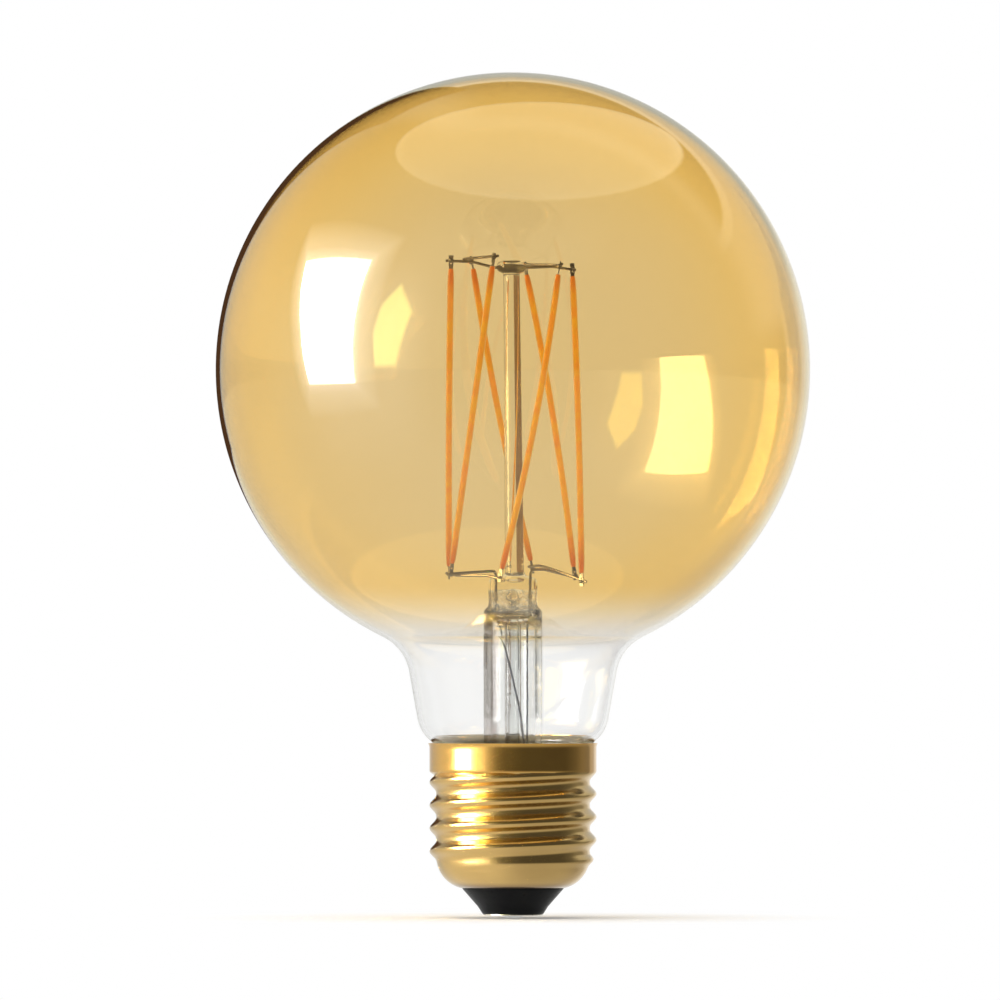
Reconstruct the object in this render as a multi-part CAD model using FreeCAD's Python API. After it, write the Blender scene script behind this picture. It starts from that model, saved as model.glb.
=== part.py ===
import FreeCAD, Part
import math
import os

from FreeCAD import Placement, Rotation, Vector

# Globe bulb with a twisted cage of six light strips, standing on its 27 mm screw cap.
# Millimetres, +Z up. The origin is on the axis, at the lowest point of the centre contact.
# The front is -Y. Angles are measured from the front towards +X.

# Screw cap
cap_height = 27.6
thread_d = 26.4
thread_root_d = 24.26
thread_pitch = 3.629
thread_start_z = 19.6
crest_sharpness = 1.25
sheet = 0.3
collar_d = 26.4
collar_height = 4.4
collar_step = 1.0
lip_height = 0.6
lip_out = 0.22
lip_share = 0.3
seam_gap = 0.001
thread_fade_top = 1.8
thread_fade_foot = 1.9
thread_end_above_foot = 3.2
shell_foot_z = 4.7
shell_hole_d = 16.2
foot_bend = 5.13
rolled_into_collar = 0.5

# Insulator and contact
insulator_foot_z = 0.62
insulator_foot_d = 9.6
insulator_waist_d = 11.1
insulator_waist_z = 1.8
insulator_rim = 0.85
insulator_floor_d = 10.25
insulator_rim_z = 6.6
insulator_gap = 0.1
well_floor_z = 3.4
contact_d = 9.4
contact_edge = 0.18
contact_plate = 0.3
contact_dish = 0.09
contact_flat_d = 2.3
solder_d = 4.6
solder_height = 0.16

# Glass
globe_d = 94.0
bulb_height = 133.6
glass_wall = 0.7
neck_d = 30.2
neck_taper = 10.0
neck_above_cap = 3.9
neck_fillet = 7.5
shoulder_bend = 6.0
throat_bend = 1.5
cement_layer = 1.6
cement_height = 2.7
neck_end_d = collar_d - 2 * (sheet + cement_layer)
seal_depth = 9.2

# Stem
stem_d = 9.3
stem_wall = 1.1
stem_height = 35.8
flare_clear = 0.15
stem_shoulder = 1.2
stem_top_below_press = 5.0
press_width = 7.8
press_thick = 2.6
press_arch = 0.5
lobe_d = 1.6
lobe_below_top = 0.5
pinch_height = 5.6
pinch_room = 0.15
pinch_closing = 0.25
blister_d = 2.8
blister_below_top = 3.5
exhaust_d = 2.7
exhaust_wall = 0.55
exhaust_tip_above_board = 6.0
exhaust_tip_wall = 1.3
gas_way_d = 1.1

# Support rod and its button
rod_top_d = 2.55
rod_foot_d = 3.0
rod_wall = 0.5
rod_lean = 0.5
rod_seat = 0.8
rod_bead = 0.4
rod_bead_rise = 0.45
button_d = 4.7
button_height = 1.95
button_below_cage = 0.5

# Strips
strip_count = 6
strip_length = 51.5
strip_width = 0.62
strip_thick = 0.22
tab_length = 2.1
tab_width = 0.74
tab_hole_d = 0.3
tab_overhang = 0.75
coat_d = 1.08
coat_taper = 2.4
coat_end_d = 0.78
coat_belly = 0.12
tab_neck = 0.5
tab_shoulder = 0.3
tab_inset = 0.02
tab_thick = strip_thick - 2 * tab_inset
tab_into_strip = 0.15
strip_past_coat = 0.1
chips_per_strip = 16
chip_length = 0.95
chip_width = 0.36
chip_thick = 0.1
chip_bond = 0.01
cage_top_r = 10.0
cage_foot_r = 11.0
cage_twist = 52.0
# Each strip's turn from its even place at the top, its rise there, and the same two at the foot
cage_spacing = 360.0 / strip_count
cage_turn = -18.0
strip_bends = {
    "filament_3": (0, 0.5, 0.9, 7.0, 0.2),
    "filament_5": (1, 6.0, -0.24, -1.0, -0.8),
    "filament_6": (2, 8.0, -0.74, 30.0, -0.9),
    "filament_4": (3, 7.0, 0.26, 6.0, -0.5),
    "filament_2": (4, -1.5, 0.46, -6.0, 1.3),
    "filament_1": (5, 0.0, 0.36, 17.0, 0.2),
}
# How far each strip bows at mid height, to the right of the front and to the back
strip_bows = {
    "filament_1": (-0.12, 0.1),
    "filament_2": (-0.58, 0.1),
    "filament_3": (0.1, 0.2),
    "filament_4": (0.5, -0.1),
    "filament_5": (0.87, 0.15),
    "filament_6": (0.16, 0.1),
}

# The strip on each middle wire, then the two on its cross bar, back and front
cage_groups = {
    ("top", "left"): ("filament_1", "filament_2", "filament_3"),
    ("top", "right"): ("filament_6", "filament_4", "filament_5"),
    ("foot", "left"): ("filament_3", "filament_1", "filament_5"),
    ("foot", "right"): ("filament_4", "filament_2", "filament_6"),
}
# How far along a middle wire's run its cross bar lies, and whether on it or under it
cross_places = {
    ("top", "left"): (0.44, 1),
    ("top", "right"): (0.4, 1),
    ("foot", "left"): (0.86, -1),
    ("foot", "right"): (0.22, 1),
}

# Each middle wire's bend, measured from the side of the button or of the wire's way out of the press:
# outwards, towards the back, and up from the level of the welds
wire_knees = {
    ("top", "left"): (4.05, -1.0, 0.28),
    ("top", "right"): (3.85, 1.6, -0.4),
    ("foot", "left"): (0.5, 0.0, 0.6),
    ("foot", "right"): (2.3, 1.2, 0.82),
}
# Each cross bar's hand bend: the strip that it lies towards, the share of that way, and the rise
bar_bends = {
    ("foot", "left"): ("filament_5", 0.72, 0.5),
    ("foot", "right"): ("filament_2", 0.6, 0.35),
}

# Wires
bar_d = 0.44
outer_lead_d = 0.34
weld_sink = 0.06
bar_end = 0.75
hub_wire_drop = 0.1
hub_wire_run = 0.3
supply_d = 0.6
wire_bend = 1.0
cross_bar_bend = 3.0
outer_lead_bend = 2.0
lead_inset = 1.2
joint_above_stem = 0.6
lead_spread = 0.15
# The left outer lead's bends below the press: sideways, and the share of its way down to the board
outer_lead_straight = 1.2
outer_lead_bends = ((-1.3, 0.11), (1.1, 0.385), (1.7, 0.525))
outer_lead_set = 0.45
outer_lead_set_run = 3.0

# Driver
board_d = 19.2
board_thick = 1.0
board_notch = (2.4, 1.2)
capacitor_d = 6.3
capacitor_clear = 4.2
can_groove = 0.25
can_groove_height = 1.05
rectifier_size = (4.7, 3.9, 2.4)
driver_chip_size = (3.9, 4.9, 1.5)
body_edge = 0.3
leg_size = (0.4, 1.0)
leg_out = 0.2
inductor_d = 5.0
inductor_height = 4.2
inductor_waist_d = 3.4
inductor_flange = 0.9
resistor_d = 2.2
resistor_length = 5.4
resistor_leg_out = 0.8
leg_thick = 0.25
# Places on the board
capacitor_place = (-5.1, 1.4)
rectifier_place = (4.9, 3.4)
driver_chip_place = (-0.1, 6.1)
inductor_place = (4.5, -4.4)
resistor_place = (-2.7, -5.5)
shell_lead_place = (-8.7, -2.6)
shell_joint_rise = 2.0
shell_solder_d = 1.7
shell_solder_sink = 0.25

# Worked out from the values above
axis = Vector(0, 0, 1)
globe_r = globe_d / 2
globe_z = bulb_height - globe_r
thread_r = thread_d / 2
root_r = thread_root_d / 2
collar_r = collar_d / 2
seal_z = cap_height - seal_depth
press_top_z = seal_z + stem_height
stem_top_z = press_top_z - stem_top_below_press
flare_bend = neck_end_d / 2 - glass_wall - flare_clear - stem_d / 2
exhaust_top_z = stem_top_z - stem_wall / 2
cage_foot_z = press_top_z
twist = math.radians(cage_twist)
cage_chord = math.sqrt(
    cage_top_r**2 + cage_foot_r**2 - 2 * cage_top_r * cage_foot_r * math.cos(twist)
)
weld_span = strip_length - 2 * tab_overhang
cage_top_z = cage_foot_z + math.sqrt(weld_span**2 - cage_chord**2)
button_z = cage_top_z - button_below_cage
board_z = insulator_rim_z
board_top_z = board_z + board_thick
capacitor_height = seal_z - board_top_z - capacitor_clear
bar_r = bar_d / 2


def section(r, z):
    """A point of a turned outline."""
    return Vector(r, 0, z)


def line(start, end):
    return Part.LineSegment(start, end).toShape()


def bow(centre, radius, start, end):
    """An arc of a turned outline, from one angle above the level to another, in degrees."""
    points = []
    for angle in (start, (start + end) / 2, end):
        turn = math.radians(angle)
        points.append(centre + section(radius * math.cos(turn), radius * math.sin(turn)))
    return Part.Arc(*points).toShape()


def polygon(points):
    return Part.makePolygon(points + points[:1])


def turned(edges):
    """The solid of a closed outline turned once round the axis."""
    face = Part.Face(Part.Wire(edges))
    return face.revolve(Vector(), axis, 360)


def rod_between(start, end, radius):
    return Part.makeCylinder(radius, (end - start).Length, start, end - start)


def bent_wire(points, radius, bend=wire_bend):
    """A round wire along straight runs joined by tangent arcs."""
    edges = []
    start = points[0]
    for before, corner, after in zip(points, points[1:], points[2:]):
        back = (before - corner).normalize()
        ahead = (after - corner).normalize()
        half = back.getAngle(ahead) / 2
        arc_r = min(bend, 0.45 * min((before - corner).Length, (after - corner).Length) * math.tan(half))
        reach = arc_r / math.tan(half)
        first = corner + back * reach
        last = corner + ahead * reach
        inward = (back + ahead).normalize()
        middle = corner + inward * (arc_r / math.sin(half) - arc_r)
        edges.append(line(start, first))
        edges.append(Part.Arc(first, middle, last).toShape())
        start = last
    edges.append(line(start, points[-1]))
    path = Part.Wire(edges)
    circle = Part.Circle(points[0], points[1] - points[0], radius)
    return path.makePipeShell([Part.Wire(circle.toShape())], True, False)


# Glass envelope
def neck_directions():
    """Outward from the neck's slanted wall, and up along it."""
    slant = math.radians(neck_taper)
    outward = section(math.cos(slant), -math.sin(slant))
    upward = section(math.sin(slant), math.cos(slant))
    return outward, upward


def glass_outline(inset):
    """The envelope's outline moved inwards by inset, from the top of the globe to the end of the neck."""
    outward, upward = neck_directions()
    centre = section(0, globe_z)
    neck_foot = section(neck_d / 2, cap_height + neck_above_cap)
    beside = neck_foot + outward * neck_fillet - centre
    reach = globe_r + neck_fillet
    along = beside.dot(upward)
    rise = -along - math.sqrt(along**2 - beside.Length**2 + reach**2)
    fillet_centre = centre + beside + upward * rise
    to_fillet = fillet_centre - centre
    globe_end = math.degrees(math.atan2(to_fillet.z, to_fillet.x))
    shoulder_centre = neck_foot - outward * shoulder_bend
    drop_in = neck_d / 2 - neck_end_d / 2
    level = shoulder_bend * outward.x + throat_bend - drop_in
    turn = math.degrees(math.acos(level / (shoulder_bend + throat_bend)))
    both = shoulder_bend + throat_bend
    turned_in = math.radians(turn)
    throat_centre = shoulder_centre + section(both * math.cos(turned_in), -both * math.sin(turned_in))
    end_r = neck_end_d / 2 - inset
    edges = [
        bow(centre, globe_r - inset, 90, globe_end),
        bow(fillet_centre, neck_fillet + inset, globe_end + 180, 180 - neck_taper),
    ]
    neck_top = fillet_centre - outward * (neck_fillet + inset)
    edges.append(line(neck_top, neck_foot - outward * inset))
    edges.append(bow(shoulder_centre, shoulder_bend - inset, -neck_taper, -turn))
    edges.append(bow(throat_centre, throat_bend + inset, 180 - turn, 180))
    edges.append(line(section(end_r, throat_centre.z), section(end_r, seal_z)))
    return edges


def envelope_solid():
    """The envelope as if it were solid glass, to fit what lies round it."""
    edges = glass_outline(0)
    edges.append(line(section(neck_end_d / 2, seal_z), section(0, seal_z)))
    edges.append(line(section(0, seal_z), section(0, bulb_height)))
    return turned(edges)


def make_glass_envelope():
    outer = glass_outline(0)
    inner = glass_outline(glass_wall)
    inner_end_r = neck_end_d / 2 - glass_wall
    ends = [
        line(section(neck_end_d / 2, seal_z), section(inner_end_r, seal_z)),
        line(section(0, bulb_height), section(0, bulb_height - glass_wall)),
    ]
    return turned(Part.sortEdges(outer + inner + ends)[0])


# Rolled screw shell
def smooth_step(value):
    value = min(max(value, 0.0), 1.0)
    return value * value * (3 - 2 * value)


def shell_radius(turn, z):
    """The rolled sheet's outer radius at a turn in radians from +X, counted anticlockwise."""
    collar_foot = cap_height - collar_height
    step = smooth_step((z - (collar_foot - collar_step)) / collar_step)
    crest = math.cos(2 * math.pi * (z - thread_start_z) / thread_pitch - turn)
    crest = ((1 + crest) / 2) ** crest_sharpness
    top_fade = smooth_step((collar_foot - z) / thread_fade_top)
    foot_fade = smooth_step((z - shell_foot_z - thread_end_above_foot) / thread_fade_foot)
    depth = thread_r - root_r
    thread = depth * crest * top_fade * foot_fade * (1 - step)
    return root_r + thread + (collar_r - root_r) * step


def shell_stations():
    """Heights along the rolled sheet from the collar to its foot, with how far the foot's bend draws it in."""
    bend_centre_r = root_r - foot_bend
    sunk = math.acos((shell_hole_d / 2 - bend_centre_r) / foot_bend)
    bend_z = shell_foot_z + foot_bend * math.sin(sunk)
    collar_foot = cap_height - collar_height
    stations = [(collar_foot + rolled_into_collar * part / 2, 0.0) for part in (2, 1, 0)]
    per_pitch = 8
    rows = math.ceil((collar_foot - bend_z) / thread_pitch * per_pitch)
    for row in range(1, rows + 1):
        stations.append((collar_foot + (bend_z - collar_foot) * row / rows, 0.0))
    bend_rows = 8
    for row in range(1, bend_rows + 1):
        angle = sunk * row / bend_rows
        stations.append((bend_z - foot_bend * math.sin(angle), foot_bend * (1 - math.cos(angle))))
    return stations


# Places round the sheet, and how many more its net runs past the seam at each end to be smooth there
places_around = 32
places_past = 6


def shell_points(inset):
    """A net of points over the sheet, one row a turn's place and one column a height."""
    stations = shell_stations()
    net = []
    for place in range(-places_past, places_around + places_past + 1):
        turn = 2 * math.pi * (place % places_around) / places_around + math.pi / 2
        outline = [(shell_radius(turn, z) - drawn, z) for z, drawn in stations]
        row = []
        for at in range(len(outline)):
            r0, z0 = outline[max(at - 1, 0)]
            r1, z1 = outline[min(at + 1, len(outline) - 1)]
            slope = math.hypot(r1 - r0, z1 - z0)
            r = outline[at][0] - inset * (z0 - z1) / slope
            z = outline[at][1] + inset * (r0 - r1) / slope
            row.append(Vector(r * math.cos(turn), r * math.sin(turn), z))
        net.append(row)
    return net


def rolled_sheet():
    """The threaded sheet from the collar's foot down to the hole for the insulator."""
    faces = []
    rims = []
    for inset in (0, sheet):
        surface = Part.BSplineSurface()
        surface.interpolate(shell_points(inset))
        knots = surface.getUKnots()
        v0, v1 = surface.bounds()[2:]
        surface.segment(knots[places_past], knots[-places_past - 1], v0, v1)
        faces.append(surface.toShape())
        rims.append([surface.vIso(v).toShape() for v in (v0, v1)])
    for outer, inner in zip(*rims):
        faces.append(Part.makeRuledSurface(outer, inner))
    shell = Part.Shell(faces)
    shell.sewShape()
    solid = Part.Solid(shell)
    if solid.Volume < 0:
        solid.reverse()
    return solid


def collar_ring():
    """The plain collar and its turned lip."""
    foot_z = cap_height - collar_height + rolled_into_collar
    lip_z = cap_height - 2 * lip_height
    edges = []
    for r in (collar_r - sheet, collar_r):
        middle = section(r + lip_out * lip_share, cap_height - lip_height)
        edges.append(line(section(r, foot_z), section(r, lip_z)))
        edges.append(Part.Arc(section(r, lip_z), middle, section(r + lip_out, cap_height)).toShape())
    for out, z in ((0, foot_z), (lip_out, cap_height)):
        edges.append(line(section(collar_r - sheet + out, z), section(collar_r + out, z)))
    ring = turned(Part.sortEdges(edges)[0])
    ring.rotate(Vector(), axis, 90)
    return ring


def make_cap_shell():
    """The brass shell: one drawn and rolled sheet, threaded inside as it is outside."""
    return rolled_sheet().fuse(collar_ring(), seam_gap)


# Insulator, contact and solder
def shell_bend_centre():
    centre_r = root_r - foot_bend
    sunk = math.acos((shell_hole_d / 2 - centre_r) / foot_bend)
    return section(centre_r, shell_foot_z + foot_bend * math.sin(sunk))


def make_cap_insulator():
    centre = shell_bend_centre()
    fit_r = foot_bend - sheet - insulator_gap
    hole_r = shell_hole_d / 2 - insulator_gap
    low = math.degrees(math.acos((hole_r - centre.x) / fit_r))
    high = math.degrees(math.asin((centre.z - insulator_rim_z) / fit_r))
    start = centre + section(
        fit_r * math.cos(math.radians(low)), -fit_r * math.sin(math.radians(low))
    )
    end = centre + section(
        fit_r * math.cos(math.radians(high)), -fit_r * math.sin(math.radians(high))
    )
    rim_r = hole_r - insulator_rim
    floor_r = insulator_floor_d / 2
    lead_r = supply_d / 2 + insulator_gap
    corners = [
        end,
        section(rim_r, insulator_rim_z),
        section(floor_r, well_floor_z),
        section(lead_r, well_floor_z),
        section(lead_r, insulator_foot_z),
        section(insulator_foot_d / 2, insulator_foot_z),
        section(insulator_waist_d / 2, insulator_waist_z),
        section(hole_r, shell_foot_z - insulator_gap),
        start,
    ]
    edges = [line(a, b) for a, b in zip(corners, corners[1:])]
    edges.append(bow(centre, fit_r, -low, -high))
    return turned(edges)


def make_centre_contact():
    """A tinned plate, slightly dished, with an eyelet for the lead."""
    rim_r = contact_d / 2
    eyelet_r = supply_d / 2
    foot_z = insulator_foot_z - contact_plate
    rim_z = insulator_foot_z - contact_edge
    flat_r = contact_flat_d / 2
    middle = section((rim_r + flat_r) / 2, (foot_z + rim_z) / 2 - contact_dish / 2)
    edges = [
        line(section(eyelet_r, insulator_foot_z), section(rim_r, insulator_foot_z)),
        line(section(rim_r, insulator_foot_z), section(rim_r, rim_z)),
        Part.Arc(section(rim_r, rim_z), middle, section(flat_r, foot_z)).toShape(),
        line(section(flat_r, foot_z), section(eyelet_r, foot_z)),
        line(section(eyelet_r, foot_z), section(eyelet_r, insulator_foot_z)),
    ]
    return turned(edges)


def solder_outline_z():
    return insulator_foot_z - contact_plate


def make_solder_dome(contact, lead):
    """The drop of solder that fixes the lead in the contact."""
    top_z = solder_outline_z() + solder_height
    rim_r = solder_d / 2
    ball_r = (rim_r**2 + top_z**2) / (2 * top_z)
    reach = math.degrees(math.asin(rim_r / ball_r))
    edges = [
        bow(section(0, ball_r), ball_r, -90, reach - 90),
        line(section(rim_r, top_z), section(0, top_z)),
        line(section(0, top_z), section(0, 0)),
    ]
    return turned(edges).cut(contact).cut(lead)


def make_basing_cement(glass):
    """The ring that bonds the neck in the collar."""
    ring_r = collar_r - sheet - insulator_gap / 2
    foot_z = cap_height - collar_height + rolled_into_collar
    ring = Part.makeCylinder(ring_r, cement_height, Vector(0, 0, foot_z))
    return ring.cut(glass)


# Stem
def make_exhaust_tube():
    """Runs from the press down into the cap, where its tip is melted shut."""
    tip_z = board_top_z + exhaust_tip_above_board
    top_z = exhaust_top_z
    outer_r = exhaust_d / 2
    bore_r = outer_r - exhaust_wall
    ball = section(0, tip_z + outer_r)
    bore_foot = section(0, tip_z + exhaust_tip_wall + bore_r)
    edges = [
        bow(ball, outer_r, -90, 0),
        line(section(outer_r, ball.z), section(outer_r, top_z)),
        line(section(outer_r, top_z), section(bore_r, top_z)),
        line(section(bore_r, top_z), section(bore_r, bore_foot.z)),
        bow(bore_foot, bore_r, 0, -90),
        line(section(0, tip_z + exhaust_tip_wall), section(0, tip_z)),
    ]
    return turned(edges)


def stem_outline(inset, top_z):
    """The flared tube's outline and its rounded top, moved inwards by inset, from its mouth to the axis."""
    bend = section(stem_d / 2 + flare_bend, seal_z + flare_bend)
    radius = stem_d / 2 - inset
    shoulder = section(radius - stem_shoulder, top_z - stem_shoulder)
    return [
        bow(bend, flare_bend + inset, 270, 180),
        line(section(radius, bend.z), section(radius, shoulder.z)),
        bow(shoulder, stem_shoulder, 0, 90),
        line(section(shoulder.x, top_z), section(0, top_z)),
    ]


def stem_body():
    """The stem as if it were solid, with the rim that the neck is melted to."""
    rim_r = neck_end_d / 2
    foot_z = seal_z - stem_wall
    corners = [section(0, stem_top_z), section(0, foot_z), section(rim_r, foot_z)]
    corners += [section(rim_r, seal_z), section(stem_d / 2 + flare_bend, seal_z)]
    edges = [line(a, b) for a, b in zip(corners, corners[1:])]
    return turned(stem_outline(0, stem_top_z) + edges)


def stem_bore():
    top_z = stem_top_z - stem_wall
    foot_z = seal_z - stem_wall
    corners = [section(0, top_z), section(0, foot_z), section(stem_d / 2 + flare_bend, foot_z)]
    edges = [line(a, b) for a, b in zip(corners, corners[1:])]
    return turned(stem_outline(stem_wall, top_z) + edges)


def pinch_wedge(half_top):
    """What the closing jaws leave of the tube, seen from the side."""
    half_foot = stem_d
    top_z = stem_top_z
    foot_z = top_z - pinch_height
    sides = []
    for side in (1, -1):
        poles = [
            Vector(0, side * half_foot, foot_z),
            Vector(0, side * half_foot, foot_z + pinch_height * 0.6),
            Vector(0, side * half_top, foot_z + pinch_height * 0.5),
            Vector(0, side * half_top, top_z),
        ]
        curve = Part.BezierCurve()
        curve.setPoles(poles)
        sides.append(curve.toShape())
    low = -seal_z
    half_low = neck_end_d
    corners = [
        Vector(0, -half_foot, foot_z),
        Vector(0, -half_low, foot_z),
        Vector(0, -half_low, low),
        Vector(0, half_low, low),
        Vector(0, half_low, foot_z),
        Vector(0, half_foot, foot_z),
    ]
    edges = sides + [line(a, b) for a, b in zip(corners, corners[1:])]
    edges.append(line(Vector(0, half_top, top_z), Vector(0, -half_top, top_z)))
    face = Part.Face(Part.Wire(Part.sortEdges(edges)[0]))
    wedge = face.extrude(Vector(2 * neck_end_d, 0, 0))
    wedge.translate(Vector(-neck_end_d, 0, 0))
    return wedge


def press_slab():
    """The flat of glass that the jaws squeezed round the wires, with an arched top."""
    half = press_width / 2 - lobe_d / 4
    foot_z = stem_top_z - stem_wall
    side_z = press_top_z - press_arch
    edges = [
        line(section(-half, foot_z), section(half, foot_z)),
        line(section(half, foot_z), section(half, side_z)),
        Part.Arc(section(half, side_z), section(0, press_top_z), section(-half, side_z)).toShape(),
        line(section(-half, side_z), section(-half, foot_z)),
    ]
    slab = Part.Face(Part.Wire(edges)).extrude(Vector(0, press_thick, 0))
    slab.translate(Vector(0, -press_thick / 2, 0))
    return slab


def press_lobe(side):
    """The bead of glass round a lead wire, at one side of the press."""
    radius = lobe_d / 2
    top_z = press_top_z - lobe_below_top - radius
    foot_z = stem_top_z - stem_wall
    place = Vector(side * (press_width / 2 - radius), 0, foot_z)
    bead = Part.makeCylinder(radius, top_z - foot_z, place)
    return bead.fuse(Part.makeSphere(radius, Vector(place.x, 0, top_z)))


def rod_weld():
    """The bead of glass that the support rod's foot is melted into."""
    foot = rod_points()[0]
    rise = press_top_z + rod_bead_rise - foot.z
    return Part.makeCone(rod_foot_d / 2 + rod_bead, rod_foot_d / 2 + rod_bead / 4, rise, foot)


def make_stem_flare(tools):
    """The stem's tube and press, with sockets for the wires, the rod and the exhaust tube."""
    half_top = press_thick / 2 + pinch_room
    body = stem_body().common(pinch_wedge(half_top))
    bore = stem_bore().common(pinch_wedge(half_top * pinch_closing))
    blister_z = press_top_z - blister_below_top
    blister = Part.makeSphere(blister_d / 2, Vector(0, -press_thick / 4, blister_z))
    stem = body.cut(bore).fuse([press_slab(), press_lobe(1), press_lobe(-1), blister, rod_weld()])
    turn_point = Vector(0, 0, blister_z)
    gas_way = rod_between(Vector(0, 0, exhaust_top_z), turn_point, gas_way_d / 2)
    gas_exit = rod_between(turn_point, Vector(0, -stem_d, blister_z), gas_way_d / 2)
    return stem.cut([gas_way.fuse(gas_exit)] + tools).removeSplitter()


# Support rod
def rod_points():
    foot = Vector(rod_lean / 2, 0, press_top_z - rod_seat)
    top = Vector(-rod_lean / 2, 0, button_z)
    return foot, top


def button_body():
    """A glass button melted from the end of the rod."""
    half = button_height / 2
    flat_r = button_d / 2 - half
    edges = [
        line(section(0, -half), section(flat_r, -half)),
        bow(section(flat_r, 0), half, -90, 90),
        line(section(flat_r, half), section(0, half)),
        line(section(0, half), section(0, -half)),
    ]
    body = turned(edges)
    body.translate(Vector(-rod_lean / 2, 0, button_z))
    return body


def rod_core(inset=0):
    """The tapered rod as if it were solid, moved inwards by inset."""
    foot, top = rod_points()
    along = top - foot
    return Part.makeCone(rod_foot_d / 2 - inset, rod_top_d / 2 - inset, along.Length, foot, along)


def make_support_rod(hub):
    tube = rod_core().cut(rod_core(rod_wall))
    return tube.fuse(button_body()).removeSplitter().cut(hub)


# Cage of light strips
def cage_point(radius, angle, z):
    turn = math.radians(angle)
    return Vector(radius * math.sin(turn), -radius * math.cos(turn), z)


def strip_welds(name):
    """Where a strip's axis passes its upper and its lower weld."""
    place, top_turn, top_rise, foot_turn, foot_rise = strip_bends[name]
    angle = cage_turn + cage_spacing * place
    top = cage_point(cage_top_r, angle + top_turn, cage_top_z + top_rise)
    foot = cage_point(cage_foot_r, angle - cage_twist + foot_turn, cage_foot_z + foot_rise)
    return {"top": top, "foot": foot}


def strip_along(name):
    welds = strip_welds(name)
    return (welds["top"] - welds["foot"]).normalize()


def way_of(side):
    return -1 if side == "left" else 1


def knee(level, side):
    """Where a group's middle wire starts its straight run out to the strip that it carries."""
    out, back, rise = wire_knees[level, side]
    if level == "top":
        start_x = way_of(side) * button_d / 2
        return Vector(start_x + way_of(side) * out, back, cage_top_z + rise)
    return Vector(lead_exit(side).x + way_of(side) * out, back, cage_foot_z + rise)


def crossing(level, side):
    """Where a group's cross bar is welded over or under its middle wire."""
    middle = strip_welds(cage_groups[level, side][0])[level]
    start = knee(level, side)
    share, over = cross_places[level, side]
    return start + (middle - start) * share + Vector(0, 0, over * (bar_d - weld_sink))


def bar_heading(name, level):
    """The level direction of the wire that a strip's tab is welded to."""
    for (where, side), members in cage_groups.items():
        if where == level and name in members:
            weld = strip_welds(name)[level]
            start = knee(level, side) if name == members[0] else crossing(level, side)
            return Vector(weld.x - start.x, weld.y - start.y, 0).normalize()
    raise ValueError(name)


def tab_through(name, level):
    """The direction through a tab, square to its flat faces."""
    return strip_along(name).cross(bar_heading(name, level)).normalize()


def strip_placement(name):
    """A strip's middle, with its upper tab's width across it."""
    welds = strip_welds(name)
    along = strip_along(name)
    through = tab_through(name, "top")
    turn = Rotation(through.cross(along), through, along, "ZYX")
    return Placement((welds["top"] + welds["foot"]) * 0.5, turn)


def placed(shape, name):
    copy = shape.copy()
    copy.Placement = strip_placement(name)
    return copy


def placed_chip(chip, name):
    copy = chip.copy()
    copy.Placement = strip_placement(name).multiply(chip.Placement)
    return copy


def strip_bow(name):
    """A strip's bow at mid height in its own frame, square to its length."""
    right, back = strip_bows[name]
    turned_back = strip_placement(name).Rotation.inverted()
    bow_way = turned_back.multVec(Vector(right, back, 0))
    return Vector(bow_way.x, bow_way.y, 0)


def bow_circle(name):
    """The centre and radius of the circle that a strip's coated run lies on, and the way out to it."""
    bow_way = strip_bow(name)
    half = strip_length / 2 - tab_length
    rise = bow_way.Length
    radius = (half**2 + rise**2) / (2 * rise)
    out = bow_way.normalize()
    return out * (rise - radius), radius, out


def bow_place(name, z):
    """Where a bowed strip's axis passes a level of its own frame, and the way along it there."""
    centre, radius, out = bow_circle(name)
    lean = math.asin(z / radius)
    point = centre + out * (radius * math.cos(lean)) + axis * z
    return point, axis * math.cos(lean) - out * math.sin(lean)


def bowed_sweep(name, outline, low, high):
    """A closed outline swept along a strip's bowed axis."""
    ends = [bow_place(name, z)[0] for z in (low, (low + high) / 2, high)]
    path = Part.Wire(Part.Arc(*ends).toShape())
    heading = bow_place(name, low)[1]
    outline = outline.copy()
    outline.Placement = Placement(ends[0], Rotation(axis, heading))
    return path.makePipeShell([outline], True, False)


def tab_blank():
    """The holed tab at a strip's upper end, upright at the origin."""
    half = strip_length / 2
    shoulder_z = half - tab_length + tab_neck
    slim = strip_width / 2 - tab_inset
    wide = tab_width / 2
    foot_z = half - tab_length - tab_into_strip
    right = [(slim, foot_z), (slim, shoulder_z - tab_shoulder), (wide, shoulder_z), (wide, half)]
    corners = [Vector(x, 0, z) for x, z in right]
    corners += [Vector(-x, 0, z) for x, z in reversed(right)]
    tab = Part.Face(polygon(corners)).extrude(Vector(0, tab_thick, 0))
    tab.translate(Vector(0, -tab_thick / 2, 0))
    hole_z = shoulder_z + tab_hole_d
    hole = Part.makeCylinder(
        tab_hole_d / 2, 2 * tab_thick, Vector(0, -tab_thick, hole_z), Vector(0, 1, 0)
    )
    return tab.cut(hole)


def strip_pieces(name):
    """A thin bowed strip and its two tabs, each turned to lie flat on its own wire."""
    half = strip_length / 2 - tab_length + strip_past_coat
    x = strip_width / 2
    y = strip_thick / 2
    across = polygon([Vector(-x, -y, 0), Vector(x, -y, 0), Vector(x, y, 0), Vector(-x, y, 0)])
    core = bowed_sweep(name, across, -half, half)
    along = strip_along(name)
    upper = tab_through(name, "top")
    lower = tab_through(name, "foot")
    turn = math.degrees(math.atan2(along.dot(upper.cross(lower)), upper.dot(lower)))
    foot_tab = tab_blank()
    foot_tab.rotate(Vector(), Vector(1, 0, 0), 180)
    foot_tab.rotate(Vector(), axis, turn)
    return [core, tab_blank(), foot_tab]


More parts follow.
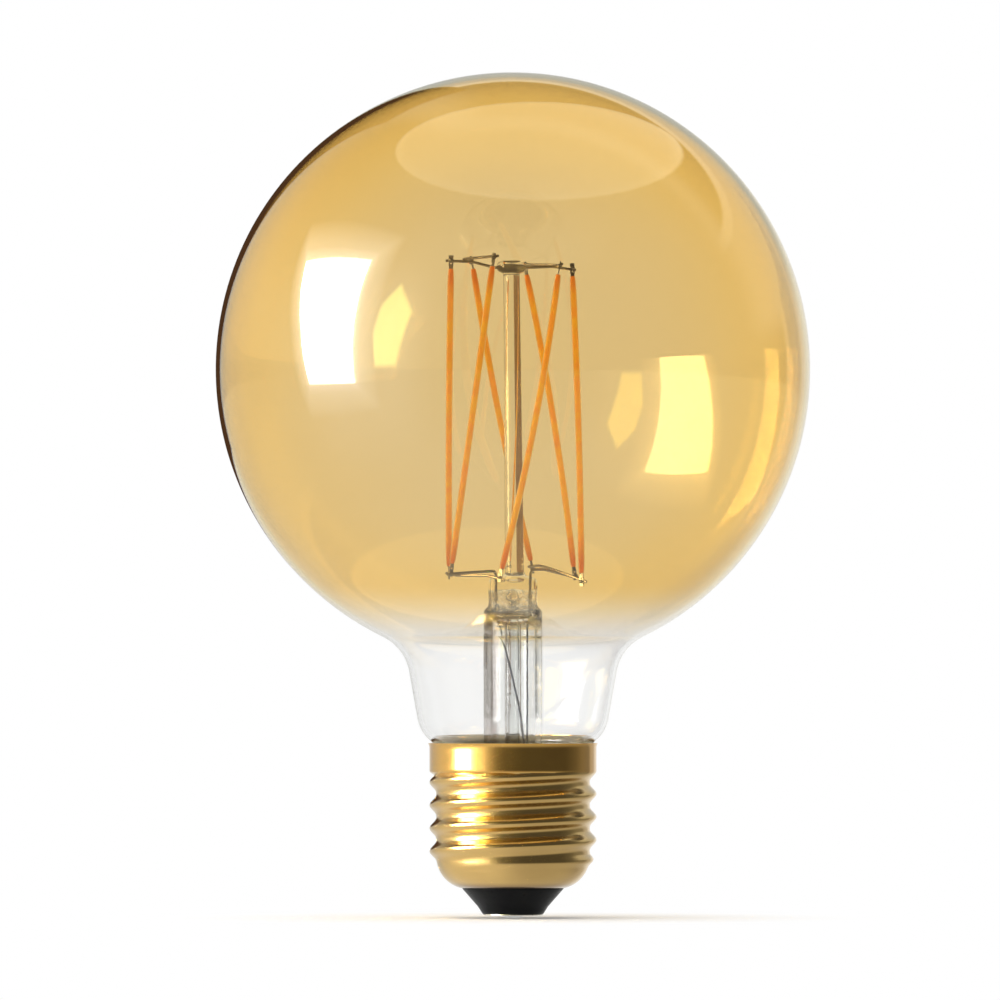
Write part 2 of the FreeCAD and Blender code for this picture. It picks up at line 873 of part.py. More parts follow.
def chip_blanks(name):
    """The row of chips on one face of a strip."""
    run = strip_length - 2 * tab_length - 2 * coat_taper
    pitch = run / (chips_per_strip - 1)
    chips = []
    for place in range(chips_per_strip):
        middle, heading = bow_place(name, -run / 2 + pitch * place)
        corner = Vector(-chip_width / 2, -strip_thick / 2 - chip_thick - chip_bond, -chip_length / 2)
        chip = Part.makeBox(chip_width, chip_thick, chip_length, corner)
        chip.Placement = Placement(middle, Rotation(axis, heading))
        chips.append(chip)
    return chips


def coat_blank(name):
    """The moulded coat round a strip, tapered at both ends."""
    half = strip_length / 2 - tab_length
    body_z = half - coat_taper
    side_r = coat_d / 2
    end_r = coat_end_d / 2
    rim = Part.Wire(Part.Circle(Vector(), axis, side_r).toShape())
    coat = bowed_sweep(name, rim, -body_z, body_z)
    for way in (1, -1):
        belly = section((side_r + end_r) / 2 + coat_belly, coat_taper / 2)
        edges = [
            line(section(0, 0), section(side_r, 0)),
            Part.Arc(section(side_r, 0), belly, section(end_r, coat_taper)).toShape(),
            line(section(end_r, coat_taper), section(0, coat_taper)),
            line(section(0, coat_taper), section(0, 0)),
        ]
        end = turned(edges)
        place, heading = bow_place(name, way * body_z)
        clear_of_flats = Rotation(axis, 45)
        end.Placement = Placement(place, Rotation(axis, heading * way).multiply(clear_of_flats))
        coat = coat.fuse(end)
    for inside in strip_pieces(name) + chip_blanks(name):
        coat = coat.cut(inside)
    return coat


# Wires of the cage
def beside_tab(name, level, inward=1):
    """The place of a bar that lies against a strip's tab at a weld."""
    weld = strip_welds(name)[level]
    return weld + tab_through(name, level) * inward * (tab_thick / 2 + bar_r - weld_sink)


def past(point, before, reach=bar_end):
    """A bar's end, just past its last weld."""
    return point + (point - before).normalize() * reach


def make_hub_wire():
    """One wire through the button, out to the middle strip on each side."""
    left = beside_tab("filament_1", "top", -1)
    right = beside_tab("filament_6", "top")
    left_knee = knee("top", "left")
    right_knee = knee("top", "right")
    half = button_d / 2 + hub_wire_run
    inner_left = Vector(-half - rod_lean / 2, 0, button_z - hub_wire_drop)
    inner_right = Vector(half - rod_lean / 2, 0, button_z - hub_wire_drop)
    return bent_wire(
        [past(left, left_knee), left_knee, inner_left, inner_right, right_knee, past(right, right_knee)],
        bar_r,
    )


def make_cross_bar(level, side):
    """The bar that carries the two outer strips of a group, bent where it meets the middle wire."""
    back_name, front_name = cage_groups[level, side][1:]
    meet = crossing(level, side)
    halves = []
    for name in (back_name, front_name):
        weld = beside_tab(name, level)
        half = [past(weld, meet)]
        bent_towards, share, rise = bar_bends.get((level, side), (None, 0, 0))
        if name == bent_towards:
            half.append(meet + (weld - meet) * share + Vector(0, 0, rise))
        halves.append(half)
    points = halves[0] + [meet] + halves[1][::-1]
    return bent_wire(points, bar_r, cross_bar_bend)


def lead_exit(side):
    """Where a lead wire leaves the top of the press."""
    return Vector(way_of(side) * (press_width / 2 - lead_inset), 0, press_top_z - lobe_below_top)


def lead_joint(side):
    """Where the inner lead meets the outer lead, inside the press."""
    return Vector(lead_exit(side).x, 0, stem_top_z + joint_above_stem)


def make_inner_lead(side, inward):
    weld = beside_tab(cage_groups["foot", side][0], "foot", inward)
    bend = knee("foot", side)
    rise = Vector(lead_exit(side).x + way_of(side) * lead_spread, 0, bend.z)
    points = [lead_joint(side), lead_exit(side), rise, past(weld, bend)]
    if side == "right":
        points.insert(3, bend)
    return bent_wire(points, bar_r)


def make_outer_lead_left():
    """Crosses in front of the exhaust tube on its way to the board."""
    start = lead_joint("left")
    in_front = -(exhaust_d / 2 + outer_lead_d)
    low_z = stem_top_z - outer_lead_straight
    points = [start, Vector(start.x, 0, low_z)]
    for x, share in outer_lead_bends:
        points.append(Vector(x, in_front, low_z + (board_top_z - low_z) * share))
    points.append(Vector(points[-1].x, in_front, board_top_z))
    return bent_wire(points, outer_lead_d / 2, outer_lead_bend)


def make_outer_lead_right():
    start = lead_joint("right")
    low = Vector(start.x - outer_lead_set, 0, stem_top_z - outer_lead_set_run)
    points = [start, Vector(start.x, 0, stem_top_z - outer_lead_straight), low, Vector(low.x, 0, board_top_z)]
    return bent_wire(points, outer_lead_d / 2, outer_lead_bend)


# Driver
def make_driver_board():
    board = Part.makeCylinder(board_d / 2, board_thick, Vector(0, 0, board_z))
    width, depth = board_notch
    corner = Vector(-width / 2, board_d / 2 - depth, board_z)
    return board.cut(Part.makeBox(width, 2 * depth, board_thick, corner))


def on_board(place):
    return Vector(place[0], place[1], board_top_z)


def boxed_part(size, place, legs):
    """A moulded body on flat legs that stand on the board."""
    long, wide, tall = size
    leg_width, leg_length = leg_size
    middle = on_board(place)
    corner = middle + Vector(-long / 2, -wide / 2, leg_thick)
    body = Part.makeBox(long, wide, tall - leg_thick, corner)
    body = body.makeChamfer(body_edge, [e for e in body.Edges if e.BoundBox.ZMin > corner.z + leg_thick])
    for number in range(legs):
        leg_x = -long / 2 + long * (number + 0.5) / legs - leg_width / 2
        for side in (1, -1):
            leg_y = side * (wide / 2 + leg_out) - leg_length / 2
            leg = Part.makeBox(leg_width, leg_length, leg_thick, middle + Vector(leg_x, leg_y, 0))
            body = body.fuse(leg)
    return body.removeSplitter()


def make_smoothing_capacitor():
    foot = on_board(capacitor_place)
    can_r = capacitor_d / 2
    can = Part.makeCylinder(can_r, capacitor_height, foot)
    rim = [e for e in can.Edges if e.BoundBox.ZMin > foot.z + capacitor_height / 2 and e.Closed]
    can = can.makeFillet(2 * can_groove, rim)
    groove = Part.makeTorus(can_r + can_groove, 2 * can_groove, foot + Vector(0, 0, can_groove_height))
    return can.cut(groove)


def make_inductor():
    place = on_board(inductor_place)
    waist_height = inductor_height - 2 * inductor_flange
    foot = Part.makeCylinder(inductor_d / 2, inductor_flange, place)
    waist = Part.makeCylinder(
        inductor_waist_d / 2, waist_height, place + Vector(0, 0, inductor_flange)
    )
    head = Part.makeCylinder(
        inductor_d / 2, inductor_flange, place + Vector(0, 0, inductor_height - inductor_flange)
    )
    return foot.fuse([waist, head]).removeSplitter()


def make_fuse_resistor():
    """Lies on the board, with its legs bent down to it."""
    radius = resistor_d / 2
    centre = on_board(resistor_place) + Vector(0, 0, radius)
    half = resistor_length / 2
    reach = half + resistor_leg_out
    legs = bent_wire(
        [
            centre + Vector(-reach, 0, -radius),
            centre + Vector(-reach, 0, 0),
            centre + Vector(reach, 0, 0),
            centre + Vector(reach, 0, -radius),
        ],
        outer_lead_d,
        0.5,
    )
    body = Part.makeCylinder(radius, resistor_length, centre + Vector(-half, 0, 0), Vector(1, 0, 0))
    body = body.makeFillet(body_edge, [e for e in body.Edges if e.Closed])
    return body.fuse(legs).removeSplitter()


def make_centre_lead():
    """From the board straight down to the contact."""
    return Part.makeCylinder(supply_d / 2, board_z - solder_outline_z(), Vector(0, 0, solder_outline_z()))


def shell_joint():
    """Where the side lead is soldered inside the shell."""
    return Vector(-(root_r - sheet), 0, board_top_z + shell_joint_rise)


def make_shell_lead():
    joint = shell_joint()
    start = on_board(shell_lead_place)
    rise = Vector(start.x, start.y, joint.z)
    return bent_wire([start, rise, joint + Vector(outer_lead_d, 0, 0)], outer_lead_d / 2)


def make_shell_solder(shell, lead):
    blob = Part.makeSphere(shell_solder_d / 2, shell_joint() + Vector(shell_solder_sink, 0, 0))
    return blob.cut(shell).cut(lead)


def largest(shape):
    """The biggest solid of a result that may hold crumbs."""
    return max(shape.Solids, key=lambda solid: solid.Volume)


def make_all():
    parts = {}
    parts["glass_envelope"] = make_glass_envelope()
    parts["cap_shell"] = make_cap_shell()
    parts["cap_insulator"] = make_cap_insulator()
    parts["centre_lead"] = make_centre_lead()
    parts["centre_contact"] = make_centre_contact()
    parts["solder_dome"] = largest(make_solder_dome(parts["centre_contact"], parts["centre_lead"]))
    parts["basing_cement"] = make_basing_cement(envelope_solid())
    all_chips = []
    for name in sorted(strip_bends):
        core, upper_tab, foot_tab = strip_pieces(name)
        parts[name] = placed(core.fuse([upper_tab, foot_tab]).removeSplitter(), name)
        parts[name.replace("filament", "phosphor")] = placed(coat_blank(name), name)
        all_chips += [placed_chip(chip, name) for chip in chip_blanks(name)]
    parts["led_chips"] = Part.makeCompound(all_chips)
    parts["hub_wire"] = make_hub_wire()
    for level, side in cage_groups:
        parts[level + "_bar_" + side] = make_cross_bar(level, side)
    parts["inner_lead_left"] = make_inner_lead("left", 1)
    parts["inner_lead_right"] = make_inner_lead("right", -1)
    parts["outer_lead_left"] = make_outer_lead_left()
    parts["outer_lead_right"] = make_outer_lead_right()
    parts["exhaust_tube"] = make_exhaust_tube()
    parts["support_rod"] = make_support_rod(parts["hub_wire"])
    sockets = [parts[name] for name in parts if name.startswith(("inner_lead", "outer_lead"))]
    sockets.append(rod_core())
    sockets.append(Part.makeCylinder(exhaust_d / 2, exhaust_top_z, Vector()))
    parts["stem_flare"] = make_stem_flare(sockets)
    parts["driver_board"] = make_driver_board()
    parts["rectifier"] = boxed_part(rectifier_size, rectifier_place, 2)
    parts["driver_chip"] = boxed_part(driver_chip_size, driver_chip_place, 4)
    parts["smoothing_capacitor"] = make_smoothing_capacitor()
    parts["inductor"] = make_inductor()
    parts["fuse_resistor"] = make_fuse_resistor()
    parts["shell_lead"] = make_shell_lead()
    parts["shell_solder"] = largest(make_shell_solder(parts["cap_shell"], parts["shell_lead"]))
    return parts


def trim_welds(parts):
    """Each wire gives way to the strips and to the wires that it is welded to."""
    strips = [parts[name] for name in strip_bends]
    for name in parts:
        if name.startswith(("hub_wire", "top_bar", "foot_bar", "inner_lead")):
            parts[name] = parts[name].cut(strips)
    for level, side in cage_groups:
        bar = level + "_bar_" + side
        middle = "hub_wire" if level == "top" else "inner_lead_" + side
        parts[bar] = largest(parts[bar].cut(parts[middle]))


def main():
    parts = make_all()
    trim_welds(parts)
    os.makedirs("parts", exist_ok=True)
    for name, shape in parts.items():
        print(name, len(shape.Solids), shape.isValid(), round(shape.Volume, 3))
        shape.exportStep("parts/" + name + ".step")


main()
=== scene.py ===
import math

import bmesh
import bpy
from bpy.props import FloatProperty, FloatVectorProperty, IntProperty, PointerProperty
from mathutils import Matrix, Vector


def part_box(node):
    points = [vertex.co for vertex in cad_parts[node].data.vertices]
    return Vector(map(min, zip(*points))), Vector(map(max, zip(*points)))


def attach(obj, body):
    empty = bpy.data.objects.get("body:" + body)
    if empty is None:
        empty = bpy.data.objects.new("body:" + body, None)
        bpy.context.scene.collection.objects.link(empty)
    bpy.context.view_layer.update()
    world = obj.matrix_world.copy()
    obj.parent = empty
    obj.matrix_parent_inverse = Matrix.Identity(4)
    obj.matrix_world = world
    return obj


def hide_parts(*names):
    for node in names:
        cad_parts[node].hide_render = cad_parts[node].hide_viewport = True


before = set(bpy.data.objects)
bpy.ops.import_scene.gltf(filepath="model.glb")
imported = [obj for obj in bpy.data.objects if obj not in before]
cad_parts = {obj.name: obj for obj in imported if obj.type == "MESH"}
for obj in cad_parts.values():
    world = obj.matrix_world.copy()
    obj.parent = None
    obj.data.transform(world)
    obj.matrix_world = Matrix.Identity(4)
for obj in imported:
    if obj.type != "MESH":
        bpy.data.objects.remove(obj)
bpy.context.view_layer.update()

bl_info = {
    "name": "Globe bulb looks",
    "version": (1, 0, 0),
    "blender": (4, 5, 0),
    "location": "View3D > Sidebar > Globe bulb",
    "description": "Gives the packed globe bulb its glass, brass, light strips and studio",
    "category": "Object",
}

MM = 0.001
BODY = "root"

# Doubles closer than this are merged, in mm
MERGE_MM = 0.0005

# The hair's breadth kept between pieces that touch
HAIR = 0.02 * MM

glass_low, glass_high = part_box("glass_envelope")
shell_low, shell_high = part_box("cap_shell")


# Settings
def decimal(name, description, default, **limits):
    return FloatProperty(name=name, description=description, default=default, **limits)


def length(name, description, default_mm):
    return decimal(name, description, default_mm * MM, unit="LENGTH", subtype="DISTANCE", precision=5)


def angle(name, description, default_degrees):
    return decimal(name, description, math.radians(default_degrees), unit="ROTATION", subtype="ANGLE")


def watts(name, description, default):
    return decimal(name, description, default, min=0, unit="POWER", subtype="POWER")


def ratio(name, description, default):
    """A number without a unit, drawn as a slider up to twice its default."""
    return decimal(name, description, default, min=0, soft_max=2 * default, subtype="FACTOR")


def whole(name, description, default, least=0):
    return IntProperty(name=name, description=description, default=default, min=least, subtype="UNSIGNED")


def colour(name, description, default):
    return FloatVectorProperty(
        name=name, description=description, default=default, size=3, min=0, max=1, subtype="COLOR"
    )


class GlobeSettings(bpy.types.PropertyGroup):
    """Sizes and tint of the blown glass envelope."""

    wall: length("Wall", "Thickness of the blown glass", 0.7)
    clearance: length("Clearance", "How far the globe stays inside the modelled size", 0.01)
    neck_width: length("Neck width", "Across the neck just above its shoulder", 30.2)
    neck_foot: length("Neck foot", "Height of the neck's foot", 31.5)
    neck_taper: angle("Neck taper", "Lean of the neck's wall", 10.0)
    neck_fillet: length("Neck fillet", "Round between globe and neck", 7.5)
    shoulder: length("Shoulder", "Round below the neck", 6.0)
    throat: length("Throat", "Round where the neck meets its straight end", 1.5)
    end_width: length("End width", "Across the straight end in the cap", 22.6)
    steps: whole("Steps", "Faces round the globe", 160, 24)
    tint: colour("Tint", "What one wall lets through, seen square on", (0.875, 0.735, 0.47))
    edge_tint: colour("Edge tint", "What one wall lets through, seen along it", (0.985, 0.745, 0.30))
    clear: colour("Clear", "What the untinted neck lets through", (0.985, 0.985, 0.98))
    fade_low: length("Fade low", "Height where the tint is gone", 42.3)
    fade_high: length("Fade high", "Height where the tint is full", 53.0)


class StemSettings(bpy.types.PropertyGroup):
    """Sizes, fineness and colours of the clear glass parts inside the neck."""

    voxel: length("Voxel", "Grain of the melted glass shape", 0.2)
    smoothing: whole("Smoothing", "Rounds of smoothing", 6)
    button_width: length("Button width", "Across the glass button", 4.7)
    button_height: length("Button height", "Height of the glass button", 1.95)
    rod_top: length("Rod top", "Rod width under the button", 2.55)
    rod_foot: length("Rod foot", "Rod width at the press", 3.0)
    # Painted shade: this colour is laid on the left walls of the flare and the exhaust tube
    wall: colour("Wall", "Colour of the tube's shaded wall", (0.36, 0.31, 0.28))
    worked_low: length("Worked low", "Lower end of the crinkled glass under the press", 48.3)
    worked_high: length("Worked high", "Upper end of the crinkled glass", 51.2)
    glass: colour("Glass", "What the clear glass lets through", (0.97, 0.975, 0.965))


class CapSettings(bpy.types.PropertyGroup):
    """Sizes of the rolled brass shell and the colours of the cap."""

    crest: length("Crest radius", "Radius at the thread's crests", 13.2)
    root: length("Root radius", "Radius at the thread's roots", 12.13)
    pitch: length("Pitch", "Rise of the thread in one turn", 3.629)
    start: length("Start", "Height of a crest on the right side", 19.6)
    sharpness: ratio("Sharpness", "Power that narrows the crests", 1.25)
    sheet: length("Sheet", "Thickness of the brass sheet", 0.3)
    collar: length("Collar height", "Height of the plain collar", 4.4)
    collar_step: length("Collar step", "Height of the step below the collar", 1.0)
    lip_height: length("Lip height", "Height of the turned lip", 0.75)
    groove: length("Groove", "Depth of the fine groove under the lip", 0.05)
    lip_out: length("Lip out", "How far the lip turns outwards", 0.22)
    fade_foot: length("Fade foot", "Run over which the thread ends", 1.9)
    end_above_foot: length("Thread end", "Height of the thread's end above the shell's foot", 3.2)
    foot_bend: length("Foot bend", "Radius of the shell's rounded foot", 5.13)
    foot_hole: length("Foot hole", "Radius of the hole for the insulator", 8.1)
    steps: whole("Steps", "Faces round the shell", 192, 24)
    brass: colour("Brass", "Colour of the brass", (0.84, 0.49, 0.115))
    tarnish: colour("Tarnish", "Colour of the duller brass", (0.72, 0.39, 0.09))
    thread_brass: colour("Thread brass", "Paler brass of the rolled thread and foot", (0.78, 0.55, 0.21))


class StripSettings(bpy.types.PropertyGroup):
    """Sizes and colours of the coated light strips."""

    width: length("Coat width", "Across the coat at mid height", 1.08)
    end_width: length("End width", "Across the coat's ends", 0.78)
    taper: length("Taper", "Length of the narrowing ends", 2.4)
    steps: whole("Steps", "Faces round a coat", 20, 8)
    rings: whole("Rings", "Rings along a coat", 90, 8)
    coat: colour("Coat", "Colour of the coat's middle", (1.0, 0.42, 0.05))
    # Painted glow: the unlit coat gives off a faint light of its own colour
    coat_glow: ratio("Coat glow", "Light the coat passes on from behind", 0.22)
    # Painted light: the coat's grazing edges are paler, as if lit through from behind
    coat_edge: colour("Coat edge", "Colour of the coat's thin, translucent edges", (1.0, 0.80, 0.40))
    coat_end: colour("Coat end", "Colour near the coat's ends", (0.78, 0.22, 0.03))


class StageSettings(bpy.types.PropertyGroup):
    """The camera's place, the floor and the lights."""

    camera_distance: length("Camera distance", "From the bulb's axis", 2000.0)
    camera_right: length("Camera right", "Camera's place to the right", -2.05)
    camera_height: length("Camera height", "Camera's height above the floor", 38.0)
    aim_height: length("Aim height", "Height that the camera looks at on the bulb's axis", 66.0)
    seen_width: length("Seen width", "Width of the view at the bulb's axis", 158.0)
    floor_width: length("Floor width", "Width of the floor", 6000.0)
    shadow_reach: length("Shadow reach", "Where the floor starts to fade to the backdrop", 12.0)
    shadow_end: length("Shadow end", "Where the floor is as bright as the backdrop", 60.0)
    key: watts("Key", "Power of the soft key light", 4.2)
    fill: ratio("Fill", "Strength of the even light from all sides", 0.86)
    side_box: ratio("Side box", "Strength of the side softbox in reflections", 44.0)
    warm_box: ratio("Warm box", "Strength of the small warm softbox in reflections", 5.0)
    top_box: ratio("Top box", "Strength of the overhead softbox in reflections", 0.95)


SETTINGS = {
    "bulb_globe": GlobeSettings,
    "bulb_stem": StemSettings,
    "bulb_cap": CapSettings,
    "bulb_strips": StripSettings,
    "bulb_stage": StageSettings,
}


# Node helpers
def socket_of(sockets, key):
    """A socket in use, by its name or by its place among those in use."""
    shown = [s for s in sockets if s.enabled]
    if isinstance(key, int):
        return shown[key]
    for s in shown:
        if s.name == key:
            return s
    raise KeyError(key)


class Graph:
    """Adds nodes to one tree and joins them."""

    def __init__(self, tree):
        self.tree = tree
        tree.nodes.clear()

    def add(self, kind, inputs=None, **settings):
        node = self.tree.nodes.new(kind)
        for key, value in settings.items():
            setattr(node, key, value)
        for key, value in (inputs or {}).items():
            self.feed(node, key, value)
        return node

    def feed(self, node, key, value):
        target = socket_of(node.inputs, key)
        if isinstance(value, bpy.types.NodeSocket):
            self.tree.links.new(value, target)
        else:
            target.default_value = value

    def out(self, kind, key, inputs=None, **settings):
        return socket_of(self.add(kind, inputs, **settings).outputs, key)

    def math(self, operation, *values, clamp=False):
        inputs = dict(enumerate(values))
        return self.out("ShaderNodeMath", 0, inputs, operation=operation, use_clamp=clamp)

    def step(self, value, start, end, low=0.0, high=1.0):
        """A smooth step from low to high as value goes from start to end."""
        inputs = {"Value": value, "From Min": start, "From Max": end, "To Min": low, "To Max": high}
        return self.out("ShaderNodeMapRange", "Result", inputs, interpolation_type="SMOOTHSTEP")

    def spread(self, value, start, end, low=0.0, high=1.0):
        inputs = {"Value": value, "From Min": start, "From Max": end, "To Min": low, "To Max": high}
        return self.out("ShaderNodeMapRange", "Result", inputs)

    def mix(self, factor, first, second):
        inputs = {"Factor": factor, "A": first, "B": second}
        return self.out("ShaderNodeMix", "Result", inputs, data_type="RGBA")

    def place(self):
        return self.out("ShaderNodeTexCoord", "Object")

    def facing(self):
        """From 0 where a surface faces the ray to 1 where it lies along it."""
        return self.out("ShaderNodeLayerWeight", "Facing", {"Blend": 0.5})

    def bump(self, height, distance_mm, **inputs):
        return self.out("ShaderNodeBump", 0, {"Distance": distance_mm * MM, "Height": height, **inputs})

    def principled(self, base, roughness, normal, **sockets):
        """The main shader, with further inputs by name and an underscore for each space."""
        inputs = {"Base Color": base, "Roughness": roughness, "Normal": normal}
        inputs.update((key.replace("_", " "), value) for key, value in sockets.items())
        return self.out("ShaderNodeBsdfPrincipled", 0, inputs)

    def noise(self, vector, scale, detail=3.0, roughness=0.5, distortion=0.0):
        inputs = {"Vector": vector, "Scale": scale, "Detail": detail}
        inputs.update({"Roughness": roughness, "Distortion": distortion})
        return self.out("ShaderNodeTexNoise", 0, inputs)

    def group(self, tree, **inputs):
        node = self.tree.nodes.new(self.tree.bl_idname.replace("Tree", "Group"))
        node.node_tree = tree
        for key, value in inputs.items():
            self.feed(node, key.replace("_", " "), value)
        return node


def rgba(values):
    """A colour with full opacity."""
    return (*values, 1.0)


def new_group(name, kind, inputs, outputs):
    """A node group with named inputs and outputs, its graph, and its two end nodes."""
    tree = bpy.data.node_groups.new(name, kind)
    graph = Graph(tree)
    for label, socket, default in inputs:
        made = tree.interface.new_socket(label, in_out="INPUT", socket_type=socket)
        if default is not None:
            made.default_value = default
    for label, socket in outputs:
        tree.interface.new_socket(label, in_out="OUTPUT", socket_type=socket)
    return tree, graph, graph.add("NodeGroupInput"), graph.add("NodeGroupOutput")


# Shader groups that more than one material uses
def grain_group():
    """Fine noise as a value between two limits, and as a height for bump."""
    tree, g, start, end = new_group(
        "Grain",
        "ShaderNodeTree",
        [
            ("Scale", "NodeSocketFloat", 1000.0),
            ("Low", "NodeSocketFloat", 0.3),
            ("High", "NodeSocketFloat", 0.5),
        ],
        [("Value", "NodeSocketFloat"), ("Height", "NodeSocketFloat")],
    )
    fine = g.noise(g.place(), start.outputs["Scale"], 5.0, 0.6)
    g.feed(end, "Value", g.spread(fine, 0.3, 0.7, start.outputs["Low"], start.outputs["High"]))
    g.feed(end, "Height", fine)
    return tree


def blend_group():
    """Two colours that blend over soft patches."""
    tree, g, start, end = new_group(
        "Soft patches",
        "ShaderNodeTree",
        [
            ("First", "NodeSocketColor", (0.5, 0.5, 0.5, 1)),
            ("Second", "NodeSocketColor", (0.4, 0.4, 0.4, 1)),
            ("Scale", "NodeSocketFloat", 200.0),
        ],
        [("Color", "NodeSocketColor")],
    )
    wide = g.noise(g.place(), start.outputs["Scale"], 4.0, 0.55, 0.4)
    mask = g.step(wide, 0.36, 0.66)
    g.feed(end, "Color", g.mix(mask, start.outputs["First"], start.outputs["Second"]))
    return tree


def level_group():
    """A mask that rises smoothly between two heights."""
    tree, g, start, end = new_group(
        "Level",
        "ShaderNodeTree",
        [("Low", "NodeSocketFloat", 0.0), ("High", "NodeSocketFloat", 1.0)],
        [("Mask", "NodeSocketFloat")],
    )
    height = g.out("ShaderNodeSeparateXYZ", "Z", {"Vector": g.place()})
    g.feed(end, "Mask", g.step(height, start.outputs["Low"], start.outputs["High"]))
    return tree


GROUPS = {}


def shared(name):
    """A shader group, built when it is first asked for."""
    if name not in GROUPS:
        GROUPS[name] = {"grain": grain_group, "blend": blend_group, "level": level_group}[name]()
    return GROUPS[name]


# Materials
def new_material(name):
    """A material, its graph and its output node."""
    material = bpy.data.materials.new(name)
    material.use_nodes = True
    graph = Graph(material.node_tree)
    return material, graph, graph.add("ShaderNodeOutputMaterial")


def patches_of(g, first, second, scale):
    """Two colours in soft patches."""
    return g.group(shared("blend"), First=rgba(first), Second=rgba(second), Scale=scale).outputs["Color"]


def grain_of(g, scale, low, high):
    """Grained roughness between two limits, and the grain's height for bump."""
    grain = g.group(shared("grain"), Scale=scale, Low=low, High=high)
    return grain.outputs["Value"], grain.outputs["Height"]


def level_mask(g, low, high):
    """A mask that rises smoothly from one height to another."""
    return g.group(shared("level"), Low=low, High=high).outputs["Mask"]


def per_face(values):
    """A wall's tint as each of its two faces gives it."""
    return rgba([v**0.5 for v in values])


def surface_of(name, first, second, patch_scale, grain_scale, rough, bump_mm, sockets):
    """An opaque material with soft patches of two colours, grained roughness and fine bump."""
    material, g, output = new_material(name)
    base = patches_of(g, first, second, patch_scale)
    roughness, height = grain_of(g, grain_scale, *rough)
    g.feed(output, "Surface", g.principled(base, roughness, g.bump(height, bump_mm), **sockets))
    return material


def lit_through(g, output, shader, tint):
    """Glass that lets the lamps' light through without bending it."""
    shadow = g.out("ShaderNodeLightPath", "Is Shadow Ray")
    straight = g.out("ShaderNodeBsdfTransparent", 0, {"Color": tint})
    g.feed(output, "Surface", g.out("ShaderNodeMixShader", 0, {0: shadow, 1: shader, 2: straight}))


def amber_glass(look):
    """Clear glass with a vapour tint that fades out towards the neck."""
    material, g, output = new_material("amber_glass")
    mask = level_mask(g, look.fade_low, look.fade_high)
    along = g.step(g.facing(), 0.02, 0.62)
    place = g.place()
    uneven = g.spread(g.noise(place, 18.0, 3.0, 0.5, 0.6), 0.3, 0.7, -0.10, 0.10)
    depth = g.math("ADD", along, uneven, clamp=True)
    tint = g.mix(depth, rgba(look.tint), rgba(look.edge_tint))
    base = g.mix(mask, rgba(look.clear), tint)
    bumped = g.bump(g.noise(place, 60.0, 2.0), 0.004, Strength=0.5)
    shader = g.principled(base, 0.0, bumped, IOR=1.5, Transmission_Weight=1.0)
    lit_through(g, output, shader, g.mix(mask, per_face(look.clear), per_face(look.tint)))
    return material


def clear_glass(look):
    """Worked clear glass: a little wavy, crinkled under the press, with painted shade on its left wall."""
    material, g, output = new_material("clear_glass")
    base = patches_of(g, look.glass, [v * 0.965 for v in look.glass], 160.0)
    place = g.place()
    gentle = g.bump(g.noise(place, 260.0, 3.0, 0.5, 0.8), 0.06, Strength=0.5)
    above_low = level_mask(g, look.worked_low - 1.2 * MM, look.worked_low)
    above_high = level_mask(g, look.worked_high, look.worked_high + 0.8 * MM)
    below_high = g.math("SUBTRACT", 1.0, above_high)
    worked = g.math("MULTIPLY", above_low, below_high)
    fold = g.math("MULTIPLY", g.noise(place, 900.0, 3.0, 0.55, 1.6), worked)
    bumped = g.bump(fold, 0.6, Normal=gentle)
    # Painted shade: where the left wall lies along the view, below the crinkled glass, it takes the dark wall
    # colour
    aside = g.out("ShaderNodeSeparateXYZ", "X", {"Vector": place})
    left = g.step(aside, -0.6 * MM, -0.1 * MM, 1.0, 0.0)
    wall = g.math("MULTIPLY", g.step(g.facing(), 0.12, 0.4), left)
    shade = g.mix(g.math("MULTIPLY", wall, below_high), base, rgba(look.wall))
    shader = g.principled(shade, 0.01, bumped, IOR=1.5, Transmission_Weight=1.0)
    lit_through(g, output, shader, per_face(look.glass))
    return material


def rolled_brass(look):
    """Drawn brass: fine level lines, duller roots, brighter worn crests, paler thread, painted shade at the
    foot.
    """
    material, g, output = new_material("rolled_brass")
    place = g.place()
    parts = g.add("ShaderNodeSeparateXYZ", {"Vector": place}).outputs
    across = g.math("POWER", parts["X"], 2.0)
    deep = g.math("POWER", parts["Y"], 2.0)
    radius = g.math("SQRT", g.math("ADD", across, deep))
    worn = g.step(radius, look.root + 0.35 * MM, look.crest)
    patches = patches_of(g, look.brass, look.tarnish, 90.0)
    duller = g.mix(g.math("MULTIPLY", worn, 0.45), patches, rgba(look.brass))
    lines = g.out("ShaderNodeVectorMath", 0, {0: place, 1: (60.0, 60.0, 3600.0)}, operation="MULTIPLY")
    drawn = g.noise(lines, 1.0, 4.0, 0.6)
    grained, height = grain_of(g, 1500.0, 0.15, 0.22)
    both = g.math("ADD", drawn, g.math("MULTIPLY", height, 0.4))
    bumped = g.bump(both, 0.0016, Strength=0.6)
    rough = g.math("MULTIPLY", grained, g.spread(worn, 0.0, 1.0, 1.12, 0.86))
    # Painted shade: the brass turns dark at its foot, next to the insulator
    above_foot = level_mask(g, shell_low.z, shell_low.z + 1.1 * MM)
    collar_foot = shell_high.z - look.collar
    above_thread = level_mask(g, collar_foot - 0.4 * MM, collar_foot)
    toned = g.mix(above_thread, g.mix(0.65, duller, rgba(look.thread_brass)), duller)
    shade = g.mix(above_foot, rgba([v * 0.45 for v in look.tarnish]), toned)
    shader = g.principled(shade, rough, bumped, Metallic=1.0, Coat_Weight=0.5, Coat_Roughness=0.12)
    g.feed(output, "Surface", shader)
    return material


